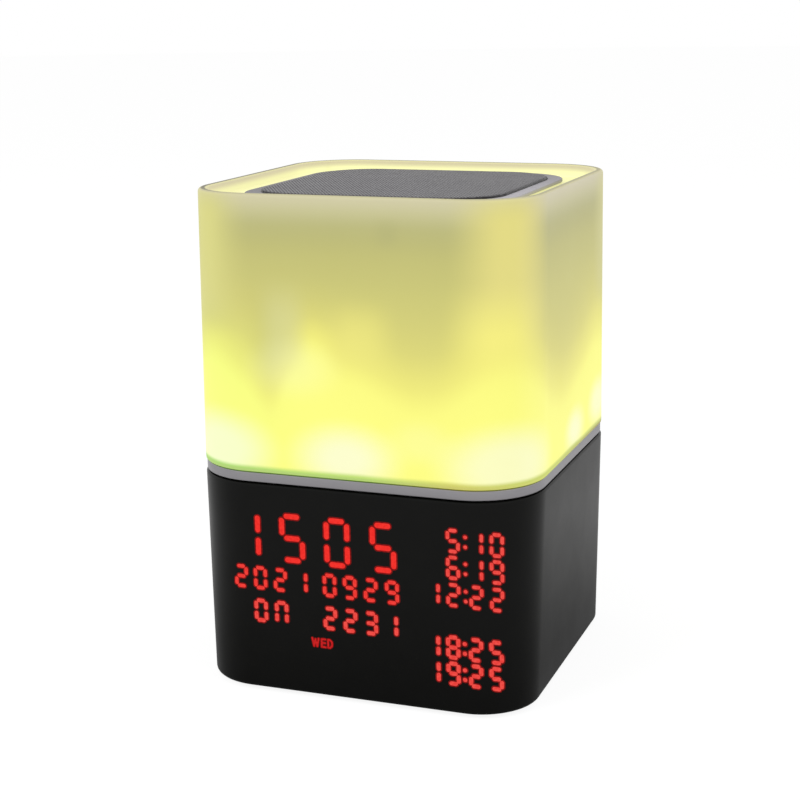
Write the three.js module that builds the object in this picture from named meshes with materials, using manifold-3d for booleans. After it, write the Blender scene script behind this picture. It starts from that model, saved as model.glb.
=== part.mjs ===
// Cube alarm clock speaker: a black clock base, a glowing diffuser and a speaker on top.
// Millimetres, +Z up, origin on the table under the middle, display facing -Y.
import * as THREE from 'three';
import { mergeVertices } from 'three/addons/utils/BufferGeometryUtils.js';
import Module from 'manifold-3d';

const wasm = await Module();
wasm.setup();

// Outer body
const bodyWidth = 100; // across the flats, at the trim ring
const bodyCornerRadius = 19.6;
const baseTaper = 1.2; // the clock base narrows this much a side towards the table
const baseCornerTaper = 2.7; // and its corners tighten this much
const rimTaper = 0.5; // the diffuser narrows this much a side towards its rim
const baseHeight = 60.8;
const shadowGap = 0.4; // dark line under the trim ring
const ringHeight = 2.8;
const ringInset = 0.3;
const seamGap = 0.2;
const diffuserHeight = 76.6;
const footStand = 1; // the feet lift the casing this far

// Fits
const fitGap = 0.3; // between pieces that seat on each other
const holeClearance = 0.3; // round a piece that passes through a hole
const cutOverrun = 1; // how far a cut runs past the face it opens
const rootOverlap = 0.5; // how far a rib runs into the wall it stands on

// Clock casing and its bottom cover
const casingWall = 2.2;
const casingDeck = 2.4;
const displayWall = 1.2; // the wall thins where the digits shine through
const lipHeight = 8.2; // the lip centres the ring and the diffuser
const lipThickness = 1.6;
const wireHoleRadius = 6;
const coverThickness = 2.4;
const coverRecess = 0.2;
const bossRadius = 3.5;
const bossInset = 5.5; // from the inner wall to the boss's middle
const bossWeb = 2;
const footRadius = 5;
const footSink = 0.7; // how far a foot sits in the cover
const footInset = 10.3; // from the cover's edge to a foot's middle
const footToScrew = 9; // along Y
const slotRibThickness = 1.5;
const slotRibHeight = 3;

// Screws
const screwShankRadius = 1.3;
const screwHeadRadius = 2.5;
const screwHeadHeight = 1;
const screwLength = 7;
const crossWidth = 0.6;
const crossLength = 2.8;
const crossDepth = 0.5;

// Diffuser and its recessed deck
const diffuserWall = 2.5;
const rimRecess = 3.4; // from the rim down to the deck
const diffuserDeck = 2.6;

// Bezel and grille
const bezelMargin = 6; // lit deck that shows round the bezel
const bezelCornerRadius = 15;
const bezelTopDrop = 2.3; // from the rim to the bezel's top
const collarThickness = 1.8;
const grilleMargin = 5.5; // bezel that shows round the grille
const grilleCornerRadius = 12;
const grilleTopDrop = 1.2;
const grilleSheet = 0.7;
const grilleEdgeRound = 1.4;
const grilleBorder = 5.2; // from the grille's edge to its outer holes
const grilleHoleShare = 0.45; // of the pitch
const grilleRows = 17;

// Speaker housing
const lightGap = 9.7; // between the housing and the diffuser's wall, at the rim
const housingWall = 2;
const housingLedge = 3.8;
const housingTaper = 12; // height of the conical foot of the cup
const housingFloorRadius = 22;
const housingFloorDrop = 5.4; // from the driver down to the cup's floor
const legRadius = 3.5;
const legSink = 0.35; // how far a leg runs into the cup
const legPegRadius = 2;

// Speaker driver
const flangeThickness = 1.5;
const basketWall = 1.5;
const basketDepth = 17.5;
const basketStraight = 7;
const flangeBand = 5.7; // from the collar's bore to the basket's
const basketFloorRadius = 19.2;
const basketFloorHole = 13;
const basketWindowWidth = 13;
const basketWindowHeight = 5;
const coneEdgeGap = 1.3; // between the cone and the basket
const coneNeckRadius = 9.4;
const coneDepth = 10.1;
const coneSheet = 0.6;
const coneSink = 0.3; // the cone's edge below the flange's top
const dustCapRadius = 12;
const dustCapRise = 2.6;
const surroundRoll = 2.3; // radius of the rubber half roll
const surroundSheet = 0.6;
const spiderSheet = 0.4;
const spiderWave = 0.5;
const coilThickness = 0.4;
const coilLength = 11;
const poleRadius = 8.2;
const plateBoreRadius = 9.8;
const topPlateRadius = 20.5;
const topPlateThickness = 3;
const magnetRadius = 22;
const magnetBoreRadius = 11.5;
const magnetThickness = 8;
const yokeRadius = 21;
const yokeThickness = 3;

// Lamps
const ledBoardThickness = 1.6;
const ledBoardLegGap = 1.4;
const ledSize = 5;
const ledHeight = 1.4;
const ledCavityRadius = 1.9;
const ledCavityDepth = 0.5;
const ledEdgeInset = 5.3; // lamps in the middle of a side
const ledCornerInset = 8.3; // lamps in a corner

// Display
const boardThickness = 1.6;
const digitBlockDepth = 6;
const boardEdgeGap = 0.5;

// Main board and what it carries
const mainBoardMargin = 2.7; // beside the row of sockets
const mainBoardInset = 7.3; // from the back wall to the board's face
const tactSize = 6;
const tactHeight = 3.5;
const tactPinRadius = 1.5;
const tactPinHeight = 0.8;
const chipHeight = 1.4;
const capacitorRadius = 3;
const capacitorHeight = 9;
const moduleThickness = 1.8;

// Buttons
const buttonPitch = 11.9;
const buttonRadius = 3.2;
const buttonProud = 0.25;
const buttonFlange = 1;
const buttonFlangeThickness = 1;
const buttonStemRadius = 1.6;
const buttonTravel = 0.8;

// Sockets, all on the back
const socketGap = 2.6; // between neighbours in the row
const socketRecess = 0.6;
const socketLip = 0.4;
const usbWidth = 13.2;
const usbHeight = 5.8;
const usbTongueWidth = 11;
const usbTongueHeight = 1.8;
const powerWidth = 7.6;
const powerHeight = 3;
const powerTongueWidth = 3.8;
const powerTongueHeight = 0.6;
const cardWidth = 14;
const cardHeight = 2.4;
const cardSlotWidth = 11.4;
const cardSlotHeight = 1;
const jackRadius = 3.4;
const jackBoreRadius = 1.8;
const jackBodyWidth = 6.4;

// Power switch
const switchWidth = 9;
const switchHeight = 4.6;
const switchDepth = 4;
const knobWidth = 2.6;
const knobHeight = 2.2;
const knobTravel = 2.5;
const knobProud = 0.5;
const knobFoot = 1.5; // how deep the knob reaches into the switch

// Battery
const cellRadius = 9.2;
const cellLength = 65;
const cellCapRadius = 3;
const cellCapHeight = 1.2;
const cradleThickness = 2.4;
const cradleHeight = 7;

// Places as shares of the part that carries them
const buttonRowShare = 0.77; // of the base's height
const socketRowShare = 0.25;
const displayWindowShares = [-0.385, 0.432, 0.09, 0.92]; // left, right, low, high
const digitBlockShares = [
  [-0.355, 0.148, 0.618, 0.891], // left, right, low, high: the time
  [-0.362, 0.148, 0.482, 0.612], // the date
  [-0.305, 0.148, 0.321, 0.456], // the alarm
  [-0.135, -0.05, 0.232, 0.296], // the weekday
  [0.205, 0.425, 0.118, 0.891], // the column at the side
];
const digitBlockNames = ['time_digits', 'date_digits', 'alarm_digits', 'weekday_lamps', 'side_digits'];
const chipShares = [
  [-0.31, -0.13, 0.4, 0.6], // left, right, low, high on the main board
  [0.14, 0.26, 0.49, 0.61],
  [-0.03, 0.07, 0.19, 0.29],
];
const capacitorShares = [[0.3, 0.3], [-0.3, 0.24]]; // across and up the main board
const moduleShares = [-0.1, 0.14, 0.63, 0.85];
const cellShare = 0.05; // of the body's width, along Y
const cradleShares = [-0.3, 0.3]; // of the cell's length
const spiderWaveShares = [0, 1, -1, 1, -1, 1, 0];

// Steps of the round shapes
const cornerSteps = 7;
const roundSteps = 32;
const smallSteps = 12;
const arcSteps = 5;

// Widths and radii that follow
const rimWidth = bodyWidth - rimTaper * 2;
const bezelWidth = rimWidth - (diffuserWall + bezelMargin) * 2;
const grilleWidth = bezelWidth - grilleMargin * 2;
const housingRadius = rimWidth / 2 - diffuserWall - lightGap;
const housingBoreRadius = housingRadius - housingWall;
const collarOuterRadius = housingBoreRadius - fitGap;
const collarInnerRadius = collarOuterRadius - collarThickness;
const legSpread = (housingRadius + legRadius - legSink) / Math.SQRT2;
const buttonNames = ['light_button', 'volume_down_button', 'play_button', 'volume_up_button', 'mode_button'];
const basketRadius = collarInnerRadius - flangeBand;
const coneOuterRadius = basketRadius - coneEdgeGap;
const socketWidths = [powerWidth, switchWidth, usbWidth, cardWidth, jackBodyWidth];
const socketRowWidth = socketWidths.reduce((sum, width) => sum + width + socketGap, -socketGap);
const mainBoardWidth = socketRowWidth + mainBoardMargin * 2;
const [powerX, switchMiddleX, usbX, cardX, jackX] = socketWidths.map((width, i) => {
  const before = socketWidths.slice(0, i).reduce((sum, other) => sum + other + socketGap, 0);
  return before + (width - socketRowWidth) / 2;
});
const switchX = switchMiddleX - knobTravel / 2; // the knob at rest
const buttonXs = buttonNames.map((name, i) => (i - (buttonNames.length - 1) / 2) * buttonPitch);

// Heights, from the table up
const casingLow = footStand;
const casingTop = casingLow + baseHeight;
const casingCeiling = casingTop - casingDeck;
const ringLow = casingTop + shadowGap;
const ringTop = ringLow + ringHeight;
const diffuserLow = ringTop + seamGap;
const rimTop = diffuserLow + diffuserHeight;
const deckTop = rimTop - rimRecess;
const deckLow = deckTop - diffuserDeck;
const bezelTop = rimTop - bezelTopDrop;
const grilleTop = rimTop - grilleTopDrop;
const coverLow = casingLow + coverRecess;
const coverTop = coverLow + coverThickness;
const housingTop = deckLow - fitGap;
const flangeTop = housingTop - fitGap * 2 - flangeThickness;
const flangeLow = flangeTop - flangeThickness;
const ledgeTop = flangeLow - fitGap;
const basketLow = flangeTop - basketDepth;
const topPlateTop = basketLow - fitGap;
const topPlateLow = topPlateTop - topPlateThickness;
const magnetTop = topPlateLow - fitGap;
const magnetLow = magnetTop - magnetThickness;
const yokeTop = magnetLow - fitGap;
const yokeLow = yokeTop - yokeThickness;
const housingFloorTop = yokeLow - housingFloorDrop;
const housingLow = housingFloorTop - housingWall;
const ledBoardLow = casingTop + fitGap;
const ledBoardTop = ledBoardLow + ledBoardThickness;
const socketRow = casingLow + socketRowShare * baseHeight;
const buttonRow = casingLow + buttonRowShare * baseHeight;

// Materials
function finish(color, roughness, metalness) {
  return new THREE.MeshStandardMaterial({ color, roughness, metalness });
}

const blackGloss = finish(0x1b1b1a, 0.35, 0);
const blackMatt = finish(0x202021, 0.7, 0);
const rubberBlack = finish(0x161616, 0.9, 0);
const silver = finish(0x8d8b8f, 0.35, 0.6);
const glowYellow = finish(0xf2ee8a, 0.5, 0);
const bezelGrey = finish(0xb9b7ba, 0.45, 0.1);
const meshGrey = finish(0x6e6b70, 0.4, 0.8);
const screwSteel = finish(0x9a9a9c, 0.35, 0.9);
const housingWhite = finish(0xe9e8e2, 0.6, 0);
const platedSteel = finish(0xb5b3a8, 0.35, 0.9);
const ferrite = finish(0x3a3a3c, 0.7, 0.2);
const paperBlack = finish(0x242424, 0.85, 0);
const clothTan = finish(0xb08a4a, 0.9, 0);
const copper = finish(0xb06a3a, 0.4, 0.8);
const boardWhite = finish(0xeeeeea, 0.5, 0);
const boardGreen = finish(0x1f5a34, 0.5, 0.1);
const ledWhite = finish(0xfbfbc8, 0.4, 0);
const digitGrey = finish(0x2b1414, 0.5, 0);
const shellSteel = finish(0xc4c4c6, 0.3, 0.9);
const knobBlack = finish(0x1c1c1d, 0.5, 0);
const cellBlue = finish(0x2f5fa8, 0.4, 0);

// Solids and booleans
function solid(geometry) {
  const bare = geometry.clone();
  bare.deleteAttribute('normal');
  bare.deleteAttribute('uv');
  const merged = mergeVertices(bare);
  return new wasm.Manifold(new wasm.Mesh({
    numProp: 3,
    vertProperties: new Float32Array(merged.attributes.position.array),
    triVerts: new Uint32Array(merged.index.array),
  }));
}

function asGeometry(manifold) {
  const mesh = manifold.getMesh();
  const geometry = new THREE.BufferGeometry();
  geometry.setAttribute('position', new THREE.BufferAttribute(mesh.vertProperties, 3));
  geometry.setIndex(new THREE.BufferAttribute(mesh.triVerts, 1));
  geometry.computeVertexNormals();
  return geometry;
}

function join(first, ...others) {
  return others.reduce((whole, piece) => whole.add(piece), first);
}

function cut(first, ...others) {
  return others.reduce((whole, piece) => whole.subtract(piece), first);
}

function box(minX, maxX, minY, maxY, minZ, maxZ) {
  const geometry = new THREE.BoxGeometry(maxX - minX, maxY - minY, maxZ - minZ);
  geometry.translate((minX + maxX) / 2, (minY + maxY) / 2, (minZ + maxZ) / 2);
  return solid(geometry);
}

function rodZ(radius, x, y, low, high, steps = smallSteps) {
  const geometry = new THREE.CylinderGeometry(radius, radius, high - low, steps);
  geometry.rotateX(Math.PI / 2);
  geometry.translate(x, y, (low + high) / 2);
  return solid(geometry);
}

function rodY(radius, x, z, front, back, steps = smallSteps) {
  const geometry = new THREE.CylinderGeometry(radius, radius, back - front, steps);
  geometry.translate(x, (front + back) / 2, z);
  return solid(geometry);
}

function rodX(radius, y, z, left, right, steps = smallSteps) {
  const geometry = new THREE.CylinderGeometry(radius, radius, right - left, steps);
  geometry.rotateZ(-Math.PI / 2);
  geometry.translate((left + right) / 2, y, z);
  return solid(geometry);
}

// A solid of revolution about Z from a profile of [radius, height] pairs
function turned(profile, steps = roundSteps) {
  const points = profile.map(([radius, height]) => new THREE.Vector2(radius, height));
  const geometry = new THREE.LatheGeometry(points, steps);
  geometry.rotateX(Math.PI / 2);
  return solid(geometry);
}

// A closed profile between an outer and an inner outline of a ring
function turnedRing(profile, steps = roundSteps) {
  return turned([...profile, profile[0]], steps);
}

// Points of a square with round corners, anticlockwise
function cornerPoints(width, radius) {
  const reach = width / 2 - radius;
  const points = [];
  [[1, 1], [-1, 1], [-1, -1], [1, -1]].forEach(([signX, signY], corner) => {
    for (let step = 0; step <= cornerSteps; step += 1) {
      const angle = ((corner + step / cornerSteps) * Math.PI) / 2;
      const across = radius * Math.cos(angle);
      points.push([signX * reach + across, signY * reach + radius * Math.sin(angle)]);
    }
  });
  return points;
}

// A solid through rounded squares of given width and corner radius at rising heights
function lofted(levels) {
  const rings = levels.map(({ width, radius }) => cornerPoints(width, radius));
  const count = rings[0].length;
  const positions = rings.flatMap((ring, level) => ring.flatMap(([x, y]) => [x, y, levels[level].z]));
  positions.push(0, 0, levels[0].z, 0, 0, levels[levels.length - 1].z);
  const lowCentre = count * levels.length;
  const index = [];
  for (let i = 0; i < count; i += 1) {
    const next = (i + 1) % count;
    for (let level = 0; level + 1 < levels.length; level += 1) {
      const low = level * count;
      const high = low + count;
      index.push(low + i, low + next, high + next, low + i, high + next, high + i);
    }
    const top = (levels.length - 1) * count;
    index.push(lowCentre, next, i, lowCentre + 1, top + i, top + next);
  }
  const geometry = new THREE.BufferGeometry();
  geometry.setAttribute('position', new THREE.Float32BufferAttribute(positions, 3));
  geometry.setIndex(index);
  return solid(geometry);
}

function squareBlock(width, radius, low, high) {
  return lofted([{ width, radius, z: low }, { width, radius, z: high }]);
}

// The body's outline
function between(low, high, share) {
  return low + (high - low) * share;
}

function baseSection(z, inset) {
  const drop = (casingTop - z) / baseHeight;
  return {
    width: bodyWidth - (baseTaper * drop + inset) * 2,
    radius: bodyCornerRadius - baseCornerTaper * drop - inset,
    z,
  };
}

function diffuserSection(z, inset) {
  const share = (z - diffuserLow) / diffuserHeight;
  const width = between(bodyWidth, rimWidth, share);
  return { width: width - inset * 2, radius: (bodyCornerRadius * width) / bodyWidth - inset, z };
}

// How far out, along Y, a section of the base reaches at a given X
function reachAt(x, section) {
  const centre = section.width / 2 - section.radius;
  const past = Math.max(0, Math.abs(x) - centre);
  return centre + Math.sqrt(section.radius ** 2 - past ** 2);
}

function wallOuter(z) {
  return baseSection(z, 0).width / 2;
}

function wallInner(z) {
  return wallOuter(z) - casingWall;
}

// Places that several pieces share
const coverSection = baseSection(casingLow, casingWall);
const coverScrewX = coverSection.width / 2 - bossInset;
const footSpread = coverSection.width / 2 - fitGap - footInset;
const coverScrewY = footSpread - footToScrew;
const [, sideRightShare, sideLowShare] = digitBlockShares[digitBlockShares.length - 1];
const displayLow = casingLow + sideLowShare * baseHeight;
const displayRight = sideRightShare * bodyWidth;
const displayBoardWidth = displayRight * 2;
const digitFront = -(reachAt(displayRight, baseSection(displayLow, casingWall)) - fitGap);
const displayBoardFront = digitFront + digitBlockDepth + fitGap;
const displayBoardBack = displayBoardFront + boardThickness;
const mainBoardBack = wallInner(casingLow) - mainBoardInset;
const mainBoardFront = mainBoardBack - boardThickness;
const boardLow = coverTop + boardEdgeGap;
const boardHigh = casingCeiling - boardEdgeGap;
const socketFront = mainBoardBack + fitGap;
const signs = [[-1, -1, 'front_left'], [1, -1, 'front_right'], [-1, 1, 'back_left'], [1, 1, 'back_right']];
const lipOuterInset = diffuserWall + fitGap;
const lipInnerInset = lipOuterInset + lipThickness;
const bodyInset = (inset) => ({ width: bodyWidth - inset * 2, radius: bodyCornerRadius - inset });

const clock = new THREE.Group();

function addPiece(name, shape, material, x = 0, y = 0, z = 0) {
  const mesh = new THREE.Mesh(shape.isBufferGeometry ? shape : asGeometry(shape), material);
  mesh.name = name;
  mesh.position.set(x, y, z);
  clock.add(mesh);
}

// Ribs that hold the edge of an upright board, in front of it and behind it
function slotRibs(front, back, width, low, high) {
  const half = width / 2;
  return [
    box(-half, half, front - fitGap - slotRibThickness, front - fitGap, low, high),
    box(-half, half, back + fitGap, back + fitGap + slotRibThickness, low, high),
  ];
}

// Holes in the back wall for the sockets, the switch and the buttons
function backCuts() {
  const inner = mainBoardBack;
  const outer = bodyWidth / 2 + cutOverrun;
  const window = (x, width, height) => {
    const halfWidth = width / 2 + holeClearance;
    const halfHeight = height / 2 + holeClearance;
    return box(x - halfWidth, x + halfWidth, inner, outer, socketRow - halfHeight, socketRow + halfHeight);
  };
  const cuts = [
    window(usbX, usbWidth, usbHeight),
    window(powerX, powerWidth, powerHeight),
    window(cardX, cardWidth, cardHeight),
    rodY(jackRadius + holeClearance, jackX, socketRow, inner, outer),
    box(
      switchX - knobWidth / 2 - holeClearance,
      switchX + knobWidth / 2 + knobTravel + holeClearance,
      inner, outer,
      socketRow - knobHeight / 2 - holeClearance,
      socketRow + knobHeight / 2 + holeClearance,
    ),
  ];
  for (const x of buttonXs) {
    cuts.push(rodY(buttonRadius + holeClearance, x, buttonRow, inner, outer));
  }
  return cuts;
}

// Columns for the cover screws, with webs to the side walls
function coverBosses() {
  const low = coverTop + fitGap;
  const high = casingCeiling + rootOverlap;
  return signs.flatMap(([signX, signY]) => {
    const x = signX * coverScrewX;
    const y = signY * coverScrewY;
    const wall = signX * (wallInner(casingLow) + rootOverlap);
    return [
      rodZ(bossRadius, x, y, low, high),
      box(Math.min(x, wall), Math.max(x, wall), y - bossWeb / 2, y + bossWeb / 2, low, high),
    ];
  });
}

// The thin stretch of wall that the digits shine through
function displayPocket() {
  const [left, right, low, high] = displayWindowShares;
  const lowZ = casingLow + low * baseHeight;
  const highZ = casingLow + high * baseHeight;
  const room = lofted([baseSection(lowZ, displayWall), baseSection(highZ, displayWall)]);
  return room.intersect(box(left * bodyWidth, right * bodyWidth, -bodyWidth, digitFront, lowZ, highZ));
}

function baseCasing() {
  const below = casingLow - cutOverrun;
  const shell = lofted([baseSection(casingLow, 0), baseSection(casingTop, 0)]);
  const room = lofted([baseSection(below, casingWall), baseSection(casingCeiling, casingWall)]);
  const outerLip = bodyInset(lipOuterInset);
  const innerLip = bodyInset(lipInnerInset);
  const lip = cut(
    squareBlock(outerLip.width, outerLip.radius, casingTop - rootOverlap, casingTop + lipHeight),
    squareBlock(innerLip.width, innerLip.radius, casingTop, casingTop + lipHeight + cutOverrun),
  );
  const ribLow = casingCeiling - slotRibHeight;
  const ribHigh = casingCeiling + rootOverlap;
  const walls = join(
    cut(shell, room),
    lip,
    ...coverBosses(),
    ...slotRibs(displayBoardFront, displayBoardBack, displayBoardWidth / 2, ribLow, ribHigh),
    ...slotRibs(mainBoardFront, mainBoardBack, mainBoardWidth / 2, ribLow, ribHigh),
  );
  const pilots = signs.flatMap(([signX, signY]) => [
    rodZ(screwShankRadius + holeClearance, signX * coverScrewX, signY * coverScrewY,
      coverLow, coverLow + screwLength + screwHeadHeight + cutOverrun),
    rodZ(legPegRadius + holeClearance, signX * legSpread, signY * legSpread,
      casingCeiling - cutOverrun, casingTop + cutOverrun),
  ]);
  const wireHole = rodZ(wireHoleRadius, 0, 0, casingCeiling - cutOverrun, casingTop + cutOverrun);
  return cut(walls, displayPocket(), wireHole, ...pilots, ...backCuts());
}

// Saddles that carry the cell along X
function cradles() {
  const y = cellShare * bodyWidth;
  const centre = coverTop + fitGap + cellRadius;
  return cradleShares.map((share) => {
    const x = share * cellLength;
    const saddle = box(x - cradleThickness / 2, x + cradleThickness / 2,
      y - cellRadius, y + cellRadius, coverTop - rootOverlap, coverTop + cradleHeight);
    const trough = rodX(cellRadius + fitGap, y, centre, x - cradleThickness, x + cradleThickness, roundSteps);
    return cut(saddle, trough);
  });
}

function bottomCover() {
  const inset = casingWall + fitGap;
  const plate = lofted([baseSection(coverLow, inset), baseSection(coverTop, inset)]);
  const ribHigh = coverTop + slotRibHeight;
  const ribLow = coverTop - rootOverlap;
  const whole = join(
    plate,
    ...cradles(),
    ...slotRibs(displayBoardFront, displayBoardBack, displayBoardWidth / 2, ribLow, ribHigh),
    ...slotRibs(mainBoardFront, mainBoardBack, mainBoardWidth / 2, ribLow, ribHigh),
  );
  const pockets = signs.flatMap(([signX, signY]) => {
    const x = signX * coverScrewX;
    const y = signY * coverScrewY;
    return [
      rodZ(screwHeadRadius + holeClearance, x, y, coverLow - cutOverrun, coverLow + screwHeadHeight + fitGap),
      rodZ(screwShankRadius + holeClearance, x, y, coverLow, coverTop + cutOverrun),
      rodZ(footRadius + holeClearance, signX * footSpread, signY * footSpread,
        coverLow - cutOverrun, coverLow + footSink + fitGap, roundSteps / 2),
    ];
  });
  return cut(whole, ...pockets);
}

// A screw with its head's face at z = 0 and its shank upwards
function screw(length) {
  const body = join(
    rodZ(screwHeadRadius, 0, 0, 0, screwHeadHeight),
    rodZ(screwShankRadius, 0, 0, screwHeadHeight - crossDepth, length),
  );
  const arm = crossLength / 2;
  const half = crossWidth / 2;
  const slots = join(
    box(-arm, arm, -half, half, -cutOverrun, crossDepth),
    box(-half, half, -arm, arm, -cutOverrun, crossDepth),
  );
  return asGeometry(cut(body, slots));
}

function addFeetAndScrews() {
  const footTop = coverLow + footSink;
  const foot = asGeometry(rodZ(footRadius, 0, 0, 0, footTop, roundSteps / 2));
  const coverScrew = screw(screwLength);
  for (const [signX, signY, corner] of signs) {
    addPiece(`foot_${corner}`, foot, rubberBlack, signX * footSpread, signY * footSpread);
    addPiece(`cover_screw_${corner}`, coverScrew, screwSteel,
      signX * coverScrewX, signY * coverScrewY, coverLow);
  }
}

function trimRing() {
  const outer = bodyInset(ringInset);
  const bore = bodyInset(lipOuterInset - fitGap);
  return cut(
    squareBlock(outer.width, outer.radius, ringLow, ringTop),
    squareBlock(bore.width, bore.radius, ringLow - cutOverrun, ringTop + cutOverrun),
  );
}

function diffuser() {
  const shell = lofted([diffuserSection(diffuserLow, 0), diffuserSection(rimTop, 0)]);
  const room = lofted([
    diffuserSection(diffuserLow - cutOverrun, diffuserWall),
    diffuserSection(deckLow, diffuserWall),
  ]);
  const recess = lofted([
    diffuserSection(deckTop, diffuserWall),
    diffuserSection(rimTop + cutOverrun, diffuserWall),
  ]);
  const bore = rodZ(collarOuterRadius + holeClearance, 0, 0, deckLow - cutOverrun, rimTop, roundSteps);
  const screwHoles = signs.flatMap(([signX, signY]) => [
    rodZ(screwShankRadius + holeClearance, signX * legSpread, signY * legSpread,
      deckLow - cutOverrun, deckTop + cutOverrun),
    rodZ(screwHeadRadius + holeClearance, signX * legSpread, signY * legSpread,
      deckTop - screwHeadHeight - fitGap, deckTop + cutOverrun),
  ]);
  return cut(shell, room, recess, bore, ...screwHoles);
}

function grilleBezel() {
  const plate = squareBlock(bezelWidth, bezelCornerRadius, deckTop + fitGap, bezelTop);
  const collar = rodZ(collarOuterRadius, 0, 0, flangeTop + fitGap * 2 + surroundSheet,
    bezelTop, roundSteps);
  const bore = rodZ(collarInnerRadius, 0, 0, flangeLow, bezelTop + cutOverrun, roundSteps);
  return cut(join(plate, collar), bore);
}

// A pressed sheet with turned-down edges and square holes
function speakerGrille() {
  const low = bezelTop + fitGap;
  const round = (width, radius, bottom, top, roundness) => {
    const levels = [{ width, radius, z: bottom }];
    for (let step = 0; step <= arcSteps; step += 1) {
      const angle = (step / arcSteps) * (Math.PI / 2);
      const inset = roundness * (1 - Math.cos(angle));
      const drop = Math.min(roundness, top - bottom) * (1 - Math.sin(angle));
      const z = top - drop;
      if (z > bottom) levels.push({ width: width - inset * 2, radius: radius - inset, z });
    }
    return lofted(levels);
  };
  const sheet = cut(
    round(grilleWidth, grilleCornerRadius, low, grilleTop, grilleEdgeRound),
    round(grilleWidth - grilleSheet * 2, grilleCornerRadius - grilleSheet,
      low - cutOverrun, grilleTop - grilleSheet, grilleEdgeRound - grilleSheet),
  );
  const holes = [];
  const grillePitch = (grilleWidth - grilleBorder * 2) / (grilleRows - 1 + grilleHoleShare);
  const middle = (grilleRows - 1) / 2;
  const half = (grillePitch * grilleHoleShare) / 2;
  for (let row = 0; row < grilleRows; row += 1) {
    for (let column = 0; column < grilleRows; column += 1) {
      const x = (column - middle) * grillePitch;
      const y = (row - middle) * grillePitch;
      holes.push(box(x - half, x + half, y - half, y + half, low, grilleTop + cutOverrun));
    }
  }
  return sheet.subtract(wasm.Manifold.union(holes));
}

function addDeckScrews() {
  const deckScrew = screw(screwLength);
  deckScrew.rotateX(Math.PI);
  for (const [signX, signY, corner] of signs) {
    addPiece(`deck_screw_${corner}`, deckScrew, screwSteel, signX * legSpread, signY * legSpread, deckTop);
  }
}

// A cup for the driver with four legs that stand on the clock base
function speakerHousing() {
  const ledgeRadius = housingBoreRadius - housingLedge;
  const taperTop = housingLow + housingTaper;
  const cup = turned([
    [0, housingLow],
    [housingFloorRadius, housingLow],
    [housingRadius, taperTop],
    [housingRadius, housingTop],
    [housingBoreRadius, housingTop],
    [housingBoreRadius, ledgeTop],
    [ledgeRadius, ledgeTop],
    [ledgeRadius, taperTop],
    [housingFloorRadius - housingWall, housingFloorTop],
    [0, housingFloorTop],
  ]);
  const legs = signs.flatMap(([signX, signY]) => [
    rodZ(legRadius, signX * legSpread, signY * legSpread, casingTop + fitGap, housingTop),
    rodZ(legPegRadius, signX * legSpread, signY * legSpread, casingCeiling, casingTop + fitGap + rootOverlap),
  ]);
  const bore = rodZ(housingBoreRadius, 0, 0, ledgeTop, housingTop + cutOverrun, roundSteps);
  const pilots = signs.map(([signX, signY]) => rodZ(screwShankRadius + holeClearance,
    signX * legSpread, signY * legSpread, deckTop - screwLength - cutOverrun, housingTop + cutOverrun));
  const wireHole = rodZ(wireHoleRadius / 2, 0, 0, housingLow - cutOverrun, housingFloorTop + cutOverrun);
  return cut(join(cup, ...legs), bore, ...pilots, wireHole);
}

function driverBasket() {
  const flangeRadius = housingBoreRadius - holeClearance;
  const straightLow = flangeTop - basketStraight;
  const body = turnedRing([
    [basketFloorHole, basketLow],
    [basketFloorRadius + basketWall, basketLow],
    [basketRadius + basketWall, straightLow],
    [basketRadius + basketWall, flangeLow],
    [flangeRadius, flangeLow],
    [flangeRadius, flangeTop],
    [basketRadius, flangeTop],
    [basketRadius, straightLow],
    [basketFloorRadius, basketLow + basketWall],
    [basketFloorHole, basketLow + basketWall],
  ]);
  const middle = (straightLow + basketLow + basketWall) / 2;
  const low = middle - basketWindowHeight / 2;
  const high = middle + basketWindowHeight / 2;
  const reach = basketRadius + basketWall + cutOverrun;
  const half = basketWindowWidth / 2;
  const windows = [box(-reach, reach, -half, half, low, high), box(-half, half, -reach, reach, low, high)];
  return cut(body, ...windows);
}

function addDriverMotor() {
  addPiece('driver_top_plate', turnedRing([
    [plateBoreRadius, topPlateLow],
    [topPlateRadius, topPlateLow],
    [topPlateRadius, topPlateTop],
    [plateBoreRadius, topPlateTop],
  ]), platedSteel);
  addPiece('driver_magnet', turnedRing([
    [magnetBoreRadius, magnetLow],
    [magnetRadius, magnetLow],
    [magnetRadius, magnetTop],
    [magnetBoreRadius, magnetTop],
  ]), ferrite);
  addPiece('driver_yoke', turned([
    [0, yokeLow],
    [yokeRadius, yokeLow],
    [yokeRadius, yokeTop],
    [poleRadius, yokeTop],
    [poleRadius, topPlateTop],
    [0, topPlateTop],
  ]), platedSteel);
}

// The moving cone, its dust cap and its coil
const coneTop = flangeTop - coneSink;
const coneSlope = coneDepth / (coneOuterRadius - coneNeckRadius);

function coneHeight(radius) {
  return coneTop - coneDepth + (radius - coneNeckRadius) * coneSlope;
}

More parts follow.
